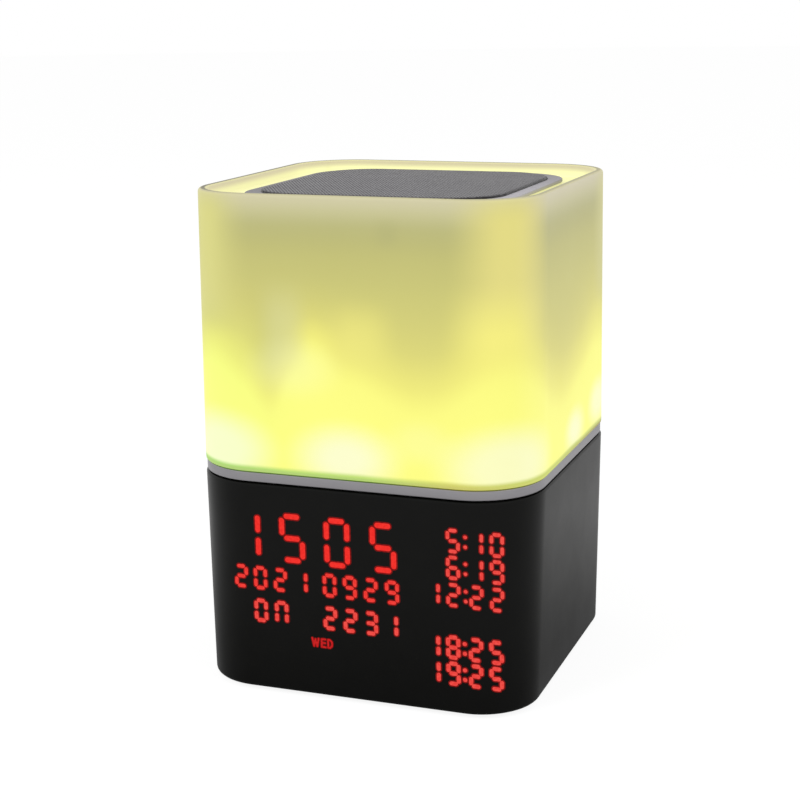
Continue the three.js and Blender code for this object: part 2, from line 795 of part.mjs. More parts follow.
function addCone() {
  addPiece('speaker_cone', turnedRing([
    [coneNeckRadius, coneHeight(coneNeckRadius) - coneSheet],
    [coneOuterRadius, coneTop - coneSheet],
    [coneOuterRadius, coneTop],
    [coneNeckRadius, coneHeight(coneNeckRadius)],
  ]), paperBlack);
  const capLow = coneHeight(dustCapRadius) + fitGap;
  const outer = [];
  const inner = [];
  for (let step = 0; step <= arcSteps; step += 1) {
    const angle = (step / arcSteps) * (Math.PI / 2);
    outer.push([dustCapRadius * Math.cos(angle), capLow + dustCapRise * Math.sin(angle)]);
    inner.unshift([
      (dustCapRadius - coneSheet) * Math.cos(angle),
      capLow + (dustCapRise - coneSheet) * Math.sin(angle),
    ]);
  }
  outer[arcSteps][0] = 0;
  inner[0][0] = 0;
  addPiece('dust_cap', turned([...inner, ...outer]), paperBlack);
  const coilRadius = coneNeckRadius - fitGap;
  const coilTop = coneHeight(coneNeckRadius);
  addPiece('voice_coil', turnedRing([
    [coilRadius - coilThickness, coilTop - coilLength],
    [coilRadius, coilTop - coilLength],
    [coilRadius, coilTop],
    [coilRadius - coilThickness, coilTop],
  ]), copper);
}

// Rubber half roll between the cone and the flange
function coneSurround() {
  const start = coneOuterRadius + fitGap;
  const middle = start + surroundRoll;
  const low = flangeTop + fitGap;
  const outer = [];
  const inner = [];
  for (let step = 0; step <= arcSteps; step += 1) {
    const angle = (step / arcSteps) * Math.PI;
    outer.push([middle - surroundRoll * Math.cos(angle), low + surroundRoll * Math.sin(angle)]);
    inner.unshift([
      middle - (surroundRoll - surroundSheet) * Math.cos(angle),
      low + (surroundRoll - surroundSheet) * Math.sin(angle),
    ]);
  }
  const land = collarInnerRadius - fitGap;
  return turnedRing([
    ...inner,
    [start, low],
    ...outer.slice(1, arcSteps),
    [middle + surroundRoll, low + surroundSheet],
    [land, low + surroundSheet],
    [land, low],
  ].reverse());
}

// Corrugated cloth disc that centres the coil
function coneSpider() {
  const start = coneNeckRadius + fitGap;
  const end = basketFloorRadius - fitGap;
  const low = basketLow + basketWall + fitGap + spiderWave;
  const last = spiderWaveShares.length - 1;
  const lower = spiderWaveShares.map((share, i) => [between(start, end, i / last), low + share * spiderWave]);
  const upper = lower.map(([radius, height]) => [radius, height + spiderSheet]).reverse();
  return turnedRing([...lower, ...upper]);
}

// Lamps on a square ring board round the housing's legs
function addLamps() {
  const outer = bodyInset(lipInnerInset + fitGap);
  const innerWidth = (legSpread + legRadius + ledBoardLegGap) * 2;
  addPiece('led_board', cut(
    squareBlock(outer.width, outer.radius, ledBoardLow, ledBoardTop),
    squareBlock(innerWidth, legRadius, ledBoardLow - cutOverrun, ledBoardTop + cutOverrun),
  ), boardWhite);
  const half = ledSize / 2;
  const lamp = asGeometry(cut(
    box(-half, half, -half, half, 0, ledHeight),
    rodZ(ledCavityRadius, 0, 0, ledHeight - ledCavityDepth, ledHeight + cutOverrun),
  ));
  const side = outer.width / 2 - ledEdgeInset;
  const corner = outer.width / 2 - ledCornerInset;
  const places = {
    front_left: [-corner, -corner], front: [0, -side], front_right: [corner, -corner], right: [side, 0],
    back_right: [corner, corner], back: [0, side], back_left: [-corner, corner], left: [-side, 0],
  };
  for (const [name, [x, y]] of Object.entries(places)) {
    addPiece(`led_${name}`, lamp, ledWhite, x, y, ledBoardTop + fitGap);
  }
}

function addDisplay() {
  const half = displayBoardWidth / 2;
  const board = box(-half, half, displayBoardFront, displayBoardBack, boardLow, boardHigh);
  addPiece('display_board', board, boardGreen);
  digitBlockShares.forEach(([left, right, low, high], i) => {
    const block = box(left * bodyWidth, right * bodyWidth, digitFront, digitFront + digitBlockDepth,
      casingLow + low * baseHeight, casingLow + high * baseHeight);
    addPiece(digitBlockNames[i], block, digitGrey);
  });
}

// The board with its click switches, chips and capacitors
function mainBoard() {
  const half = mainBoardWidth / 2;
  const pieces = [box(-half, half, mainBoardFront, mainBoardBack, boardLow, boardHigh)];
  const boardHeight = boardHigh - boardLow;
  for (const x of buttonXs) {
    const top = mainBoardBack + tactHeight;
    pieces.push(box(x - tactSize / 2, x + tactSize / 2, mainBoardBack - rootOverlap, top,
      buttonRow - tactSize / 2, buttonRow + tactSize / 2));
    pieces.push(rodY(tactPinRadius, x, buttonRow, top - rootOverlap, top + tactPinHeight));
  }
  for (const [left, right, low, high] of chipShares) {
    pieces.push(box(left * mainBoardWidth, right * mainBoardWidth,
      mainBoardFront - chipHeight, mainBoardFront + rootOverlap,
      boardLow + low * boardHeight, boardLow + high * boardHeight));
  }
  for (const [across, up] of capacitorShares) {
    pieces.push(rodY(capacitorRadius, across * mainBoardWidth, boardLow + up * boardHeight,
      mainBoardFront - capacitorHeight, mainBoardFront + rootOverlap));
  }
  return join(...pieces);
}

function wirelessModule() {
  const [left, right, low, high] = moduleShares;
  const boardHeight = boardHigh - boardLow;
  const back = mainBoardFront - fitGap;
  return box(left * mainBoardWidth, right * mainBoardWidth, back - moduleThickness, back,
    boardLow + low * boardHeight, boardLow + high * boardHeight);
}

// A socket's shell with an open mouth to the back and a tongue in it
function shellSocket(x, width, height, tongueWidth, tongueHeight) {
  const mouth = wallOuter(socketRow) - socketRecess;
  const room = socketFront + socketLip * 2;
  return join(
    cut(
      box(x - width / 2, x + width / 2, socketFront, mouth, socketRow - height / 2, socketRow + height / 2),
      box(x - width / 2 + socketLip, x + width / 2 - socketLip, room, mouth + cutOverrun,
        socketRow - height / 2 + socketLip, socketRow + height / 2 - socketLip),
    ),
    box(x - tongueWidth / 2, x + tongueWidth / 2, socketFront, mouth - socketRecess,
      socketRow - tongueHeight / 2, socketRow + tongueHeight / 2),
  );
}

function addSockets() {
  addPiece('usb_socket', shellSocket(usbX, usbWidth, usbHeight, usbTongueWidth, usbTongueHeight), shellSteel);
  addPiece('power_socket',
    shellSocket(powerX, powerWidth, powerHeight, powerTongueWidth, powerTongueHeight), shellSteel);
  const mouth = wallOuter(socketRow) - socketRecess;
  addPiece('card_socket', cut(
    box(cardX - cardWidth / 2, cardX + cardWidth / 2, socketFront, mouth,
      socketRow - cardHeight / 2, socketRow + cardHeight / 2),
    box(cardX - cardSlotWidth / 2, cardX + cardSlotWidth / 2, socketFront + socketLip, mouth + cutOverrun,
      socketRow - cardSlotHeight / 2, socketRow + cardSlotHeight / 2),
  ), shellSteel);
  const half = jackBodyWidth / 2;
  const bodyBack = wallInner(socketRow) - fitGap * 2;
  addPiece('audio_jack', cut(
    join(
      box(jackX - half, jackX + half, socketFront, bodyBack, socketRow - half, socketRow + half),
      rodY(jackRadius, jackX, socketRow, bodyBack - rootOverlap, mouth),
    ),
    rodY(jackBoreRadius, jackX, socketRow, socketFront + socketLip, mouth + cutOverrun),
  ), knobBlack);
}

function addPowerSwitch() {
  const back = wallInner(socketRow) - fitGap * 2;
  const front = back - switchDepth;
  const x = switchMiddleX;
  const pocket = back - knobFoot - fitGap;
  addPiece('switch_body', cut(
    join(
      box(x - switchWidth / 2, x + switchWidth / 2, front, back,
        socketRow - switchHeight / 2, socketRow + switchHeight / 2),
      box(x - knobHeight / 2, x + knobHeight / 2, socketFront, front + rootOverlap,
        socketRow - knobHeight / 2, socketRow + knobHeight / 2),
    ),
    box(switchX - knobWidth / 2 - fitGap, switchX + knobWidth / 2 + knobTravel + fitGap,
      pocket, back + cutOverrun, socketRow - knobHeight / 2 - fitGap, socketRow + knobHeight / 2 + fitGap),
  ), shellSteel);
  addPiece('switch_knob', box(switchX - knobWidth / 2, switchX + knobWidth / 2, back - knobFoot,
    wallOuter(socketRow) + knobProud, socketRow - knobHeight / 2, socketRow + knobHeight / 2), knobBlack);
}

function addButtons() {
  const tactTop = mainBoardBack + tactHeight + tactPinHeight;
  const flangeBack = wallInner(buttonRow) - fitGap;
  const button = asGeometry(join(
    rodY(buttonRadius, 0, 0, flangeBack - rootOverlap, wallOuter(buttonRow) + buttonProud, roundSteps / 2),
    rodY(buttonRadius + buttonFlange, 0, 0, flangeBack - buttonFlangeThickness, flangeBack, roundSteps / 2),
    rodY(buttonStemRadius, 0, 0, tactTop + fitGap + buttonTravel, flangeBack - rootOverlap),
  ));
  buttonNames.forEach((name, i) => addPiece(name, button, knobBlack, buttonXs[i], 0, buttonRow));
}

function batteryCell() {
  const y = cellShare * bodyWidth;
  const z = coverTop + fitGap + cellRadius;
  const half = cellLength / 2;
  return join(
    rodX(cellRadius, y, z, -half, half, roundSteps / 2),
    rodX(cellCapRadius, y, z, half - rootOverlap, half + cellCapHeight),
  );
}

addPiece('base_casing', baseCasing(), blackGloss);
addPiece('bottom_cover', bottomCover(), blackMatt);
addFeetAndScrews();
addPiece('trim_ring', trimRing(), silver);
addPiece('diffuser', diffuser(), glowYellow);
addPiece('grille_bezel', grilleBezel(), bezelGrey);
addPiece('speaker_grille', speakerGrille(), meshGrey);
addDeckScrews();
addPiece('speaker_housing', speakerHousing(), housingWhite);
addPiece('driver_basket', driverBasket(), platedSteel);
addDriverMotor();
addCone();
addPiece('cone_surround', coneSurround(), rubberBlack);
addPiece('cone_spider', coneSpider(), clothTan);
addLamps();
addDisplay();
addPiece('main_board', mainBoard(), boardGreen);
addPiece('wireless_module', wirelessModule(), digitGrey);
addSockets();
addPowerSwitch();
addButtons();
addPiece('battery_cell', batteryCell(), cellBlue);

export default clock;
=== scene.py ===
"""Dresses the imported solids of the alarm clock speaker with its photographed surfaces.

The classes hold their sizes in millimetres; a mesh turns them into metres when it is made.
"""
from __future__ import annotations

import logging
import math
from dataclasses import dataclass, field
from enum import Enum
from functools import cached_property
import bmesh
import bpy
from mathutils import Matrix, Vector
from mathutils.geometry import delaunay_2d_cdt


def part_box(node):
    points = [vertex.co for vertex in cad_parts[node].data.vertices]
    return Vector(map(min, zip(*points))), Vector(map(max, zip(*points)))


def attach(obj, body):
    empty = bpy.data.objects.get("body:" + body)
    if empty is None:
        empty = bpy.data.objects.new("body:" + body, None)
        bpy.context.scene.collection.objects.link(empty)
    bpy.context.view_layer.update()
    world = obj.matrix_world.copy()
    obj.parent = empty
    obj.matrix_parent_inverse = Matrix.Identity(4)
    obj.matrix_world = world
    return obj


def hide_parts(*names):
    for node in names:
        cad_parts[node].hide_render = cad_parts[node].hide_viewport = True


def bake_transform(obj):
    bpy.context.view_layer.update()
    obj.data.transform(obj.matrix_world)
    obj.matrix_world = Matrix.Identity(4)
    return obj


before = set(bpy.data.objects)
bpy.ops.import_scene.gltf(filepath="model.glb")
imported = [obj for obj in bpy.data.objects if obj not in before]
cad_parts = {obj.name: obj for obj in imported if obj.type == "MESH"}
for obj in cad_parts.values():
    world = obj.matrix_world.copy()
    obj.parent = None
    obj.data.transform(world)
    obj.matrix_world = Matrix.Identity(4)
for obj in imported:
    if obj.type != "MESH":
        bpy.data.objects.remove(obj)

LOG = logging.getLogger("clock_speaker")
MILLIMETRE = 0.001
SMOOTH_STOPS = 8  # a colour ramp of more stops than this runs in curves
PATTERN_SHARE = 0.45  # how much of a finish's drift follows its close-up pattern, not its clouds
CLOUD_SIZE = 22  # how many grains wide a cloud is
CREASE = 32.0  # degrees from which an edge stays sharp
LEAST_ROUND = 0.4  # the smallest corner radius of an outline that lies inside another
WELD = 1e-7  # metres within which corners become one
Point = tuple[float, float, float]
Flat = tuple[float, float]
Socket = bpy.types.NodeSocket
Piece = bpy.types.Object
Inputs = dict[int | str, object]
CORNERS = ("front_left", "front_right", "back_left", "back_right")
EYE: Point = (166.06, -457.98, 192.08)  # where the photograph was taken from


# Colours, surfaces and node graphs


@dataclass(frozen=True)
class Tint:
    """A colour as it is seen on a screen, 0 to 255."""

    red: float
    green: float
    blue: float

    def linear(self) -> tuple[float, float, float, float]:
        """Turns the screen colour into light.

        Returns:
            Red, green and blue, 0 to 1, with a full fourth channel.
        """
        shares = [value / 255 for value in (self.red, self.green, self.blue)]
        light = [s / 12.92 if s <= 0.04045 else ((s + 0.055) / 1.055) ** 2.4 for s in shares]
        return (light[0], light[1], light[2], 1.0)

    def shifted(self, red: float, green: float, blue: float) -> Tint:
        """Returns the colour with that much more of each."""
        return Tint(self.red + red, self.green + green, self.blue + blue)


Stops = tuple[tuple[float, Tint], ...]


class Surface(Enum):
    """What a finish shows when one looks closely."""

    MOULDED = "fine spark texture of a mould"
    POLISHED = "smooth moulding with slight waviness"
    BRUSHED = "lines that run round the piece"
    WOUND = "turns of fine wire"
    WOVEN = "crossing threads"
    PRESSED = "pulp and fibres"
    BOARD = "copper tracks under lacquer"
    CAST = "grains of a sintered block"


class NodeTree:
    """A material's or a world's nodes, added one by one."""

    def __init__(self, owner: bpy.types.Material | bpy.types.World, output: str) -> None:
        """Empties the owner's tree and gives it its output node.

        Args:
            owner: The material or the world.
            output: The output node's type name.
        """
        owner.use_nodes = True
        self.tree = owner.node_tree
        self.tree.nodes.clear()
        self.output = self.add(output)

    def add(self, kind: str, inputs: Inputs | None = None, **settings: object) -> bpy.types.Node:
        """Adds a node.

        Args:
            kind: The node's type name.
            inputs: What goes into its sockets, by their number or name.
            **settings: Attributes to set on it.

        Returns:
            The node.
        """
        node = self.tree.nodes.new(kind)
        for name, value in settings.items():
            setattr(node, name, value)
        for key, value in (inputs or {}).items():
            self.put(node.inputs[key], value)
        return node

    def put(self, target: Socket, value: object) -> None:
        """Links a socket into another one, or sets a plain value on it.

        Args:
            target: The input that takes the value.
            value: A socket, a number, a vector or a tint.
        """
        if isinstance(value, Socket):
            self.tree.links.new(value, target)
        else:
            target.default_value = value.linear() if isinstance(value, Tint) else value

    def number(self, operation: str, *values: object) -> Socket:
        """Adds a Math node with those inputs and returns its result."""
        return self.add("ShaderNodeMath", dict(enumerate(values)), operation=operation).outputs[0]

    def vector(self, operation: str, *values: object) -> Socket:
        """Adds a Vector Math node with those inputs and returns the vector or number it gives."""
        node = self.add("ShaderNodeVectorMath", dict(enumerate(values)), operation=operation)
        return node.outputs["Value" if operation in ("LENGTH", "DISTANCE") else "Vector"]

    def smooth_step(self, *values: object) -> Socket:
        """Adds a smooth step over a value, by the step's two ends and what it gives there."""
        inputs = dict(enumerate(values))
        return self.add("ShaderNodeMapRange", inputs, interpolation_type="SMOOTHSTEP").outputs[0]

    def scaled(self, vector: object, factor: object) -> Socket:
        """Adds a Vector Math node that multiplies a vector or a colour by a number."""
        inputs = {0: vector, "Scale": factor}
        return self.add("ShaderNodeVectorMath", inputs, operation="SCALE").outputs[0]


class NodeGraph(NodeTree):
    """A piece's material, with its shader and the piece's own coordinates."""

    def __init__(self, name: str) -> None:
        """Starts the material.

        Args:
            name: The material's name.
        """
        super().__init__(bpy.data.materials.new(name), "ShaderNodeOutputMaterial")
        self.shader = self.add("ShaderNodeBsdfPrincipled")
        self.put(self.output.inputs["Surface"], self.shader.outputs["BSDF"])
        metres = self.add("ShaderNodeTexCoord").outputs["Object"]
        self.place = self.scaled(metres, 1 / MILLIMETRE)

    @cached_property
    def flat(self) -> Socket:
        """Returns the place on the piece with its height left out."""
        return self.vector("MULTIPLY", self.place, (1, 1, 0))

    @cached_property
    def axes(self) -> tuple[Socket, Socket, Socket]:
        """Returns the place's x, y and z: across the front, towards the back and up."""
        return tuple(self.add("ShaderNodeSeparateXYZ", {0: self.place}).outputs)

    def slope(self, value: object, start: float, end: float) -> Socket:
        """Returns a smooth step over a value, which gives 0 at the start and 1 at the end."""
        limits = (start, end, 0.0, 1.0) if start < end else (end, start, 1.0, 0.0)
        return self.smooth_step(value, *limits)

    def ramp(self, value: object, stops: Stops) -> Socket:
        """Adds a colour ramp over any range of numbers.

        Args:
            value: What it depends on.
            stops: Pairs of a number and the colour there, lowest number first.

        Returns:
            The colour's socket.
        """
        low, high = stops[0][0], stops[-1][0]
        share = self.add("ShaderNodeMapRange", {0: value, 1: low, 2: high})
        node = self.add("ShaderNodeValToRGB", {0: share.outputs[0]})
        node.color_ramp.interpolation = "B_SPLINE" if len(stops) > SMOOTH_STOPS else "LINEAR"
        marks = node.color_ramp.elements
        while len(marks) < len(stops):
            marks.new(0.5)
        for mark, (number, tint) in zip(marks, stops):
            mark.position = (number - low) / (high - low)
            mark.color = tint.linear()
        return node.outputs[0]

    def mix(self, share: object, first: object, second: object, blend: str = "MIX") -> Socket:
        """Returns the first colour with that share of the second one mixed in."""
        inputs = {0: share, 6: first, 7: second}
        return self.add("ShaderNodeMix", inputs, data_type="RGBA", blend_type=blend).outputs[2]

    def noise(self, size: float, detail: float = 3, stretch: Point = (1, 1, 1)) -> Socket:
        """Adds noise in the piece's own coordinates.

        Args:
            size: The width of its spots in millimetres.
            detail: How many finer layers it has.
            stretch: How much narrower the spots are along each axis.

        Returns:
            The noise's value, 0 to 1.
        """
        place = self.vector("MULTIPLY", self.place, stretch)
        inputs = {"Vector": place, "Scale": 1 / size, "Detail": detail}
        return self.add("ShaderNodeTexNoise", inputs).outputs[0]

    def set(self, name: str, value: object) -> None:
        """Gives the shader's own socket of that name a value or a link."""
        self.put(self.shader.inputs[name], value)

    def relief(self, height: object, depth: float) -> None:
        """Gives the shader a relief from a height, 0 to 1, that is so many millimetres deep."""
        inputs = {"Strength": 1.0, "Distance": depth * MILLIMETRE, "Height": height}
        self.set("Normal", self.add("ShaderNodeBump", inputs).outputs[0])


@dataclass(frozen=True)
class Dressing:
    """Anything that can be given to a piece as its material."""

    name: str

    def material(self) -> bpy.types.Material:
        """Makes the material, once.

        Returns:
            The material.
        """
        name = "made_" + self.name
        if name not in bpy.data.materials:
            self.paint(NodeGraph(name))
        return bpy.data.materials[name]

    def paint(self, graph: NodeGraph) -> None:
        """Adds the material's nodes; each kind of finish has its own."""
        raise NotImplementedError


@dataclass(frozen=True)
class Finish(Dressing):
    """An opaque surface of one material."""

    colour: Tint
    drift: Tint
    surface: Surface = Surface.MOULDED
    roughness: float = 0.5
    rough_drift: float = 0.08
    metallic: float = 0.0
    specular: float = 0.5
    grain: float = 0.6
    depth: float = 0.02

    def paint(self, graph: NodeGraph) -> None:
        """Adds the material's nodes.

        Args:
            graph: The material.
        """
        fine = self.fine_pattern(graph)
        cloud = graph.noise(self.grain * CLOUD_SIZE, 4)
        clouded = graph.number("MULTIPLY", cloud, 1 - PATTERN_SHARE)
        share = graph.number("MULTIPLY_ADD", fine, PATTERN_SHARE, clouded)
        colour = graph.mix(share, self.colour, self.drift)
        graph.set("Base Color", self.painted_shading(graph, colour))
        smoothest = self.roughness - self.rough_drift
        rough = graph.number("MULTIPLY_ADD", cloud, self.rough_drift * 2, smoothest)
        graph.set("Roughness", rough)
        graph.set("Metallic", self.metallic)
        graph.set("Specular IOR Level", self.specular)
        graph.relief(fine, self.depth)

    def painted_shading(self, graph: NodeGraph, colour: Socket) -> Socket:
        """Returns the colour as it is; a kind of finish may paint shading on it by place."""
        return colour

    def wave(self, graph: NodeGraph, along: Socket) -> Socket:
        """Adds a wave of one turn for each grain along an axis and returns it, -1 to 1."""
        return graph.number("SINE", graph.number("MULTIPLY", along, 2 * math.pi / self.grain))

    def fine_pattern(self, graph: NodeGraph) -> Socket:
        """Adds the close-up pattern.

        Args:
            graph: The material it goes into.

        Returns:
            The pattern's value, 0 to 1.
        """
        x, y, z = graph.axes
        if self.surface is Surface.BRUSHED:
            return graph.noise(self.grain, 2, (0.05, 0.05, 1))
        if self.surface is Surface.WOUND:
            return graph.number("MULTIPLY_ADD", self.wave(graph, z), 0.5, 0.5)
        if self.surface is Surface.WOVEN:
            crossed = graph.number("MULTIPLY", self.wave(graph, x), self.wave(graph, y))
            return graph.number("MULTIPLY_ADD", crossed, 0.5, 0.5)
        if self.surface is Surface.BOARD:
            inputs = {"Vector": graph.place, "Scale": 1 / self.grain, "Mortar Size": 0.06}
            return graph.add("ShaderNodeTexBrick", inputs, offset=0.37, squash=0.6).outputs["Fac"]
        if self.surface is Surface.CAST:
            inputs = {"Vector": graph.place, "Scale": 1 / self.grain}
            return graph.add("ShaderNodeTexVoronoi", inputs).outputs["Distance"]
        if self.surface is Surface.PRESSED:
            return graph.noise(self.grain, 8)
        if self.surface is Surface.POLISHED:
            return graph.noise(self.grain * 9, 1)
        return graph.noise(self.grain, 4)


@dataclass(frozen=True)
class SlantFinish(Finish):
    """A surface with a painted reflection that is darker towards its back left corner."""

    painted_dark: Tint = Tint(0, 0, 0)
    start: float = -30.0
    end: float = 62.0

    def painted_shading(self, graph: NodeGraph, colour: Socket) -> Socket:
        """Returns the colour with the darker painted reflection mixed in."""
        across = graph.number("SUBTRACT", *graph.axes[:2])
        return graph.mix(graph.slope(across, self.end, self.start), colour, self.painted_dark)


@dataclass(frozen=True)
class BentFinish(Finish):
    """A finish with painted shadow where the sheet bends down at its edge."""

    painted_dark: Tint = Tint(34, 33, 36)
    flat: float = 140.44
    bent: float = 140.2

    def painted_shading(self, graph: NodeGraph, colour: Socket) -> Socket:
        """Returns the colour with the painted shadow mixed in."""
        return graph.mix(graph.slope(graph.axes[2], self.flat, self.bent), colour, self.painted_dark)


@dataclass(frozen=True)
class LitFinish(Dressing):
    """The face of a lamp or a lit figure."""

    bright: Tint
    edge: Tint
    grain: float = 0.8
    body: Tint = Tint(30, 8, 8)
    body_drift: Point = (14, 6, 6)
    patches: Flat = (0.35, 0.65)
    roughness: float = 0.6
    specular: float = 0.05

    def paint(self, graph: NodeGraph) -> None:
        """Adds the material's nodes.

        Args:
            graph: The material.
        """
        share = graph.slope(graph.noise(self.grain, 2), *self.patches)
        light = graph.mix(share, self.edge, self.bright)
        graph.set("Emission Color", light)
        graph.set("Base Color", graph.mix(share, self.body, self.body.shifted(*self.body_drift)))
        graph.set("Emission Strength", 1.0)
        graph.set("Roughness", self.roughness)
        graph.set("Specular IOR Level", self.specular)


@dataclass(frozen=True)
class Glow:
    """A bright place on the shade, over one lamp."""

    x: float
    y: float
    z: float
    full: float
    far: float
    most: float


@dataclass(frozen=True)
class Lobe:
    """A place round the shade where the light climbs higher, or less high."""

    x: float
    y: float
    reach: float
    rise: float


@dataclass(frozen=True)
class Streak:
    """An upright strip of painted light on the shade; the greyer strips are painted shadow."""

    x: float
    y: float
    reach: float
    low: float
    high: float
    fade: float
    tint: Tint
    most: float


@dataclass(frozen=True)
class MilkFinish(Dressing):
    """Milky plastic with painted light in it."""

    # The milk colour is partly the plastic's own tone and partly the lamps' yellow light painted in.
    milk: Tint = Tint(148, 148, 104)
    milk_drift: Point = (-6, -6, -4)
    rim_low: float = 141.35
    rim_rise: float = 0.4
    rim_side: float = 30.1
    rim_radius: float = 19.4
    # Painted light on the rim's top, by how far inside the outer face a point lies.
    rim_light_tints: Stops = (
        (0.15, Tint(152, 142, 130)),
        (0.7, Tint(138, 128, 110)),
        (1.8, Tint(126, 118, 96)),
        (2.4, Tint(192, 186, 142)),
    )
    # The thin dark line on the rim is painted shadow, fainter at the front and the right.
    line: Tint = Tint(58, 54, 50)
    line_outer: Flat = (0.65, 1.0)
    line_inner: Flat = (2.1, 1.7)
    line_turn: Flat = (-14, 14)
    line_least: float = 0.32
    line_gain: float = 0.53
    cloud_size: float = 16
    cloud_light: Flat = (0.06, 0.97)
    cloud_rough: Flat = (0.1, 0.46)
    specular: float = 0.25
    grain: float = 0.5
    depth: float = 0.008

    def paint(self, graph: NodeGraph) -> None:
        """Adds the material's nodes.

        Args:
            graph: The material.
        """
        x, y, _ = graph.axes
        inside, top = self.rim_place(graph)
        colour = graph.mix(top, self.light(graph), graph.ramp(inside, self.rim_light_tints))
        line = self.rim_shadow_line(graph, inside, top, graph.number("SUBTRACT", y, x))
        # The painted shadow line darkens the light and the milk colour alike.
        colour = graph.mix(line, colour, self.line)
        cloud = graph.noise(self.cloud_size, 3, (1, 1, 0.6))
        light = graph.number("MULTIPLY_ADD", cloud, *self.cloud_light)
        # The emission is painted light that stands in for the lamps under the shade.
        graph.set("Emission Color", graph.scaled(colour, light))
        graph.set("Emission Strength", 1.0)
        milk = graph.mix(cloud, self.milk, self.milk.shifted(*self.milk_drift))
        graph.set("Base Color", graph.mix(line, milk, self.line))
        graph.set("Roughness", graph.number("MULTIPLY_ADD", cloud, *self.cloud_rough))
        graph.set("Specular IOR Level", self.specular)
        graph.relief(graph.noise(self.grain, 2), self.depth)

    def light(self, graph: NodeGraph) -> Socket:
        """Paints the light in the plastic; each kind has its own."""
        raise NotImplementedError

    def rim_shadow_line(self, graph: NodeGraph, inside: Socket, top: Socket, across: Socket) -> Socket:
        """Draws the thin dark line of painted shadow on the rim, fainter at the front and the right.

        Args:
            graph: The material.
            inside: How far inside the outer face a point lies.
            top: 1 on the rim's top or else 0.
            across: How far back and left the point lies.

        Returns:
            How much of the line shows.
        """
        outer, inner = graph.slope(inside, *self.line_outer), graph.slope(inside, *self.line_inner)
        line = graph.number("MULTIPLY", graph.number("MULTIPLY", outer, inner), top)
        turn = graph.slope(across, *self.line_turn)
        faint = graph.number("MULTIPLY_ADD", turn, self.line_gain, self.line_least)
        return graph.number("MULTIPLY", line, faint)

    def rim_place(self, graph: NodeGraph) -> tuple[Socket, Socket]:
        """Finds where a point lies on the rim's top.

        Args:
            graph: The material.

        Returns:
            How far inside the outer face it lies, and 1 on the rim's top or else 0.
        """
        _, _, z = graph.axes
        flat = graph.vector("ABSOLUTE", graph.flat)
        past = graph.vector("SUBTRACT", flat, (self.rim_side, self.rim_side, 0))
        past = graph.vector("MAXIMUM", past, (0, 0, 0))
        inside = graph.number("SUBTRACT", self.rim_radius, graph.vector("LENGTH", past))
        return inside, graph.slope(z, self.rim_low, self.rim_low + self.rim_rise)


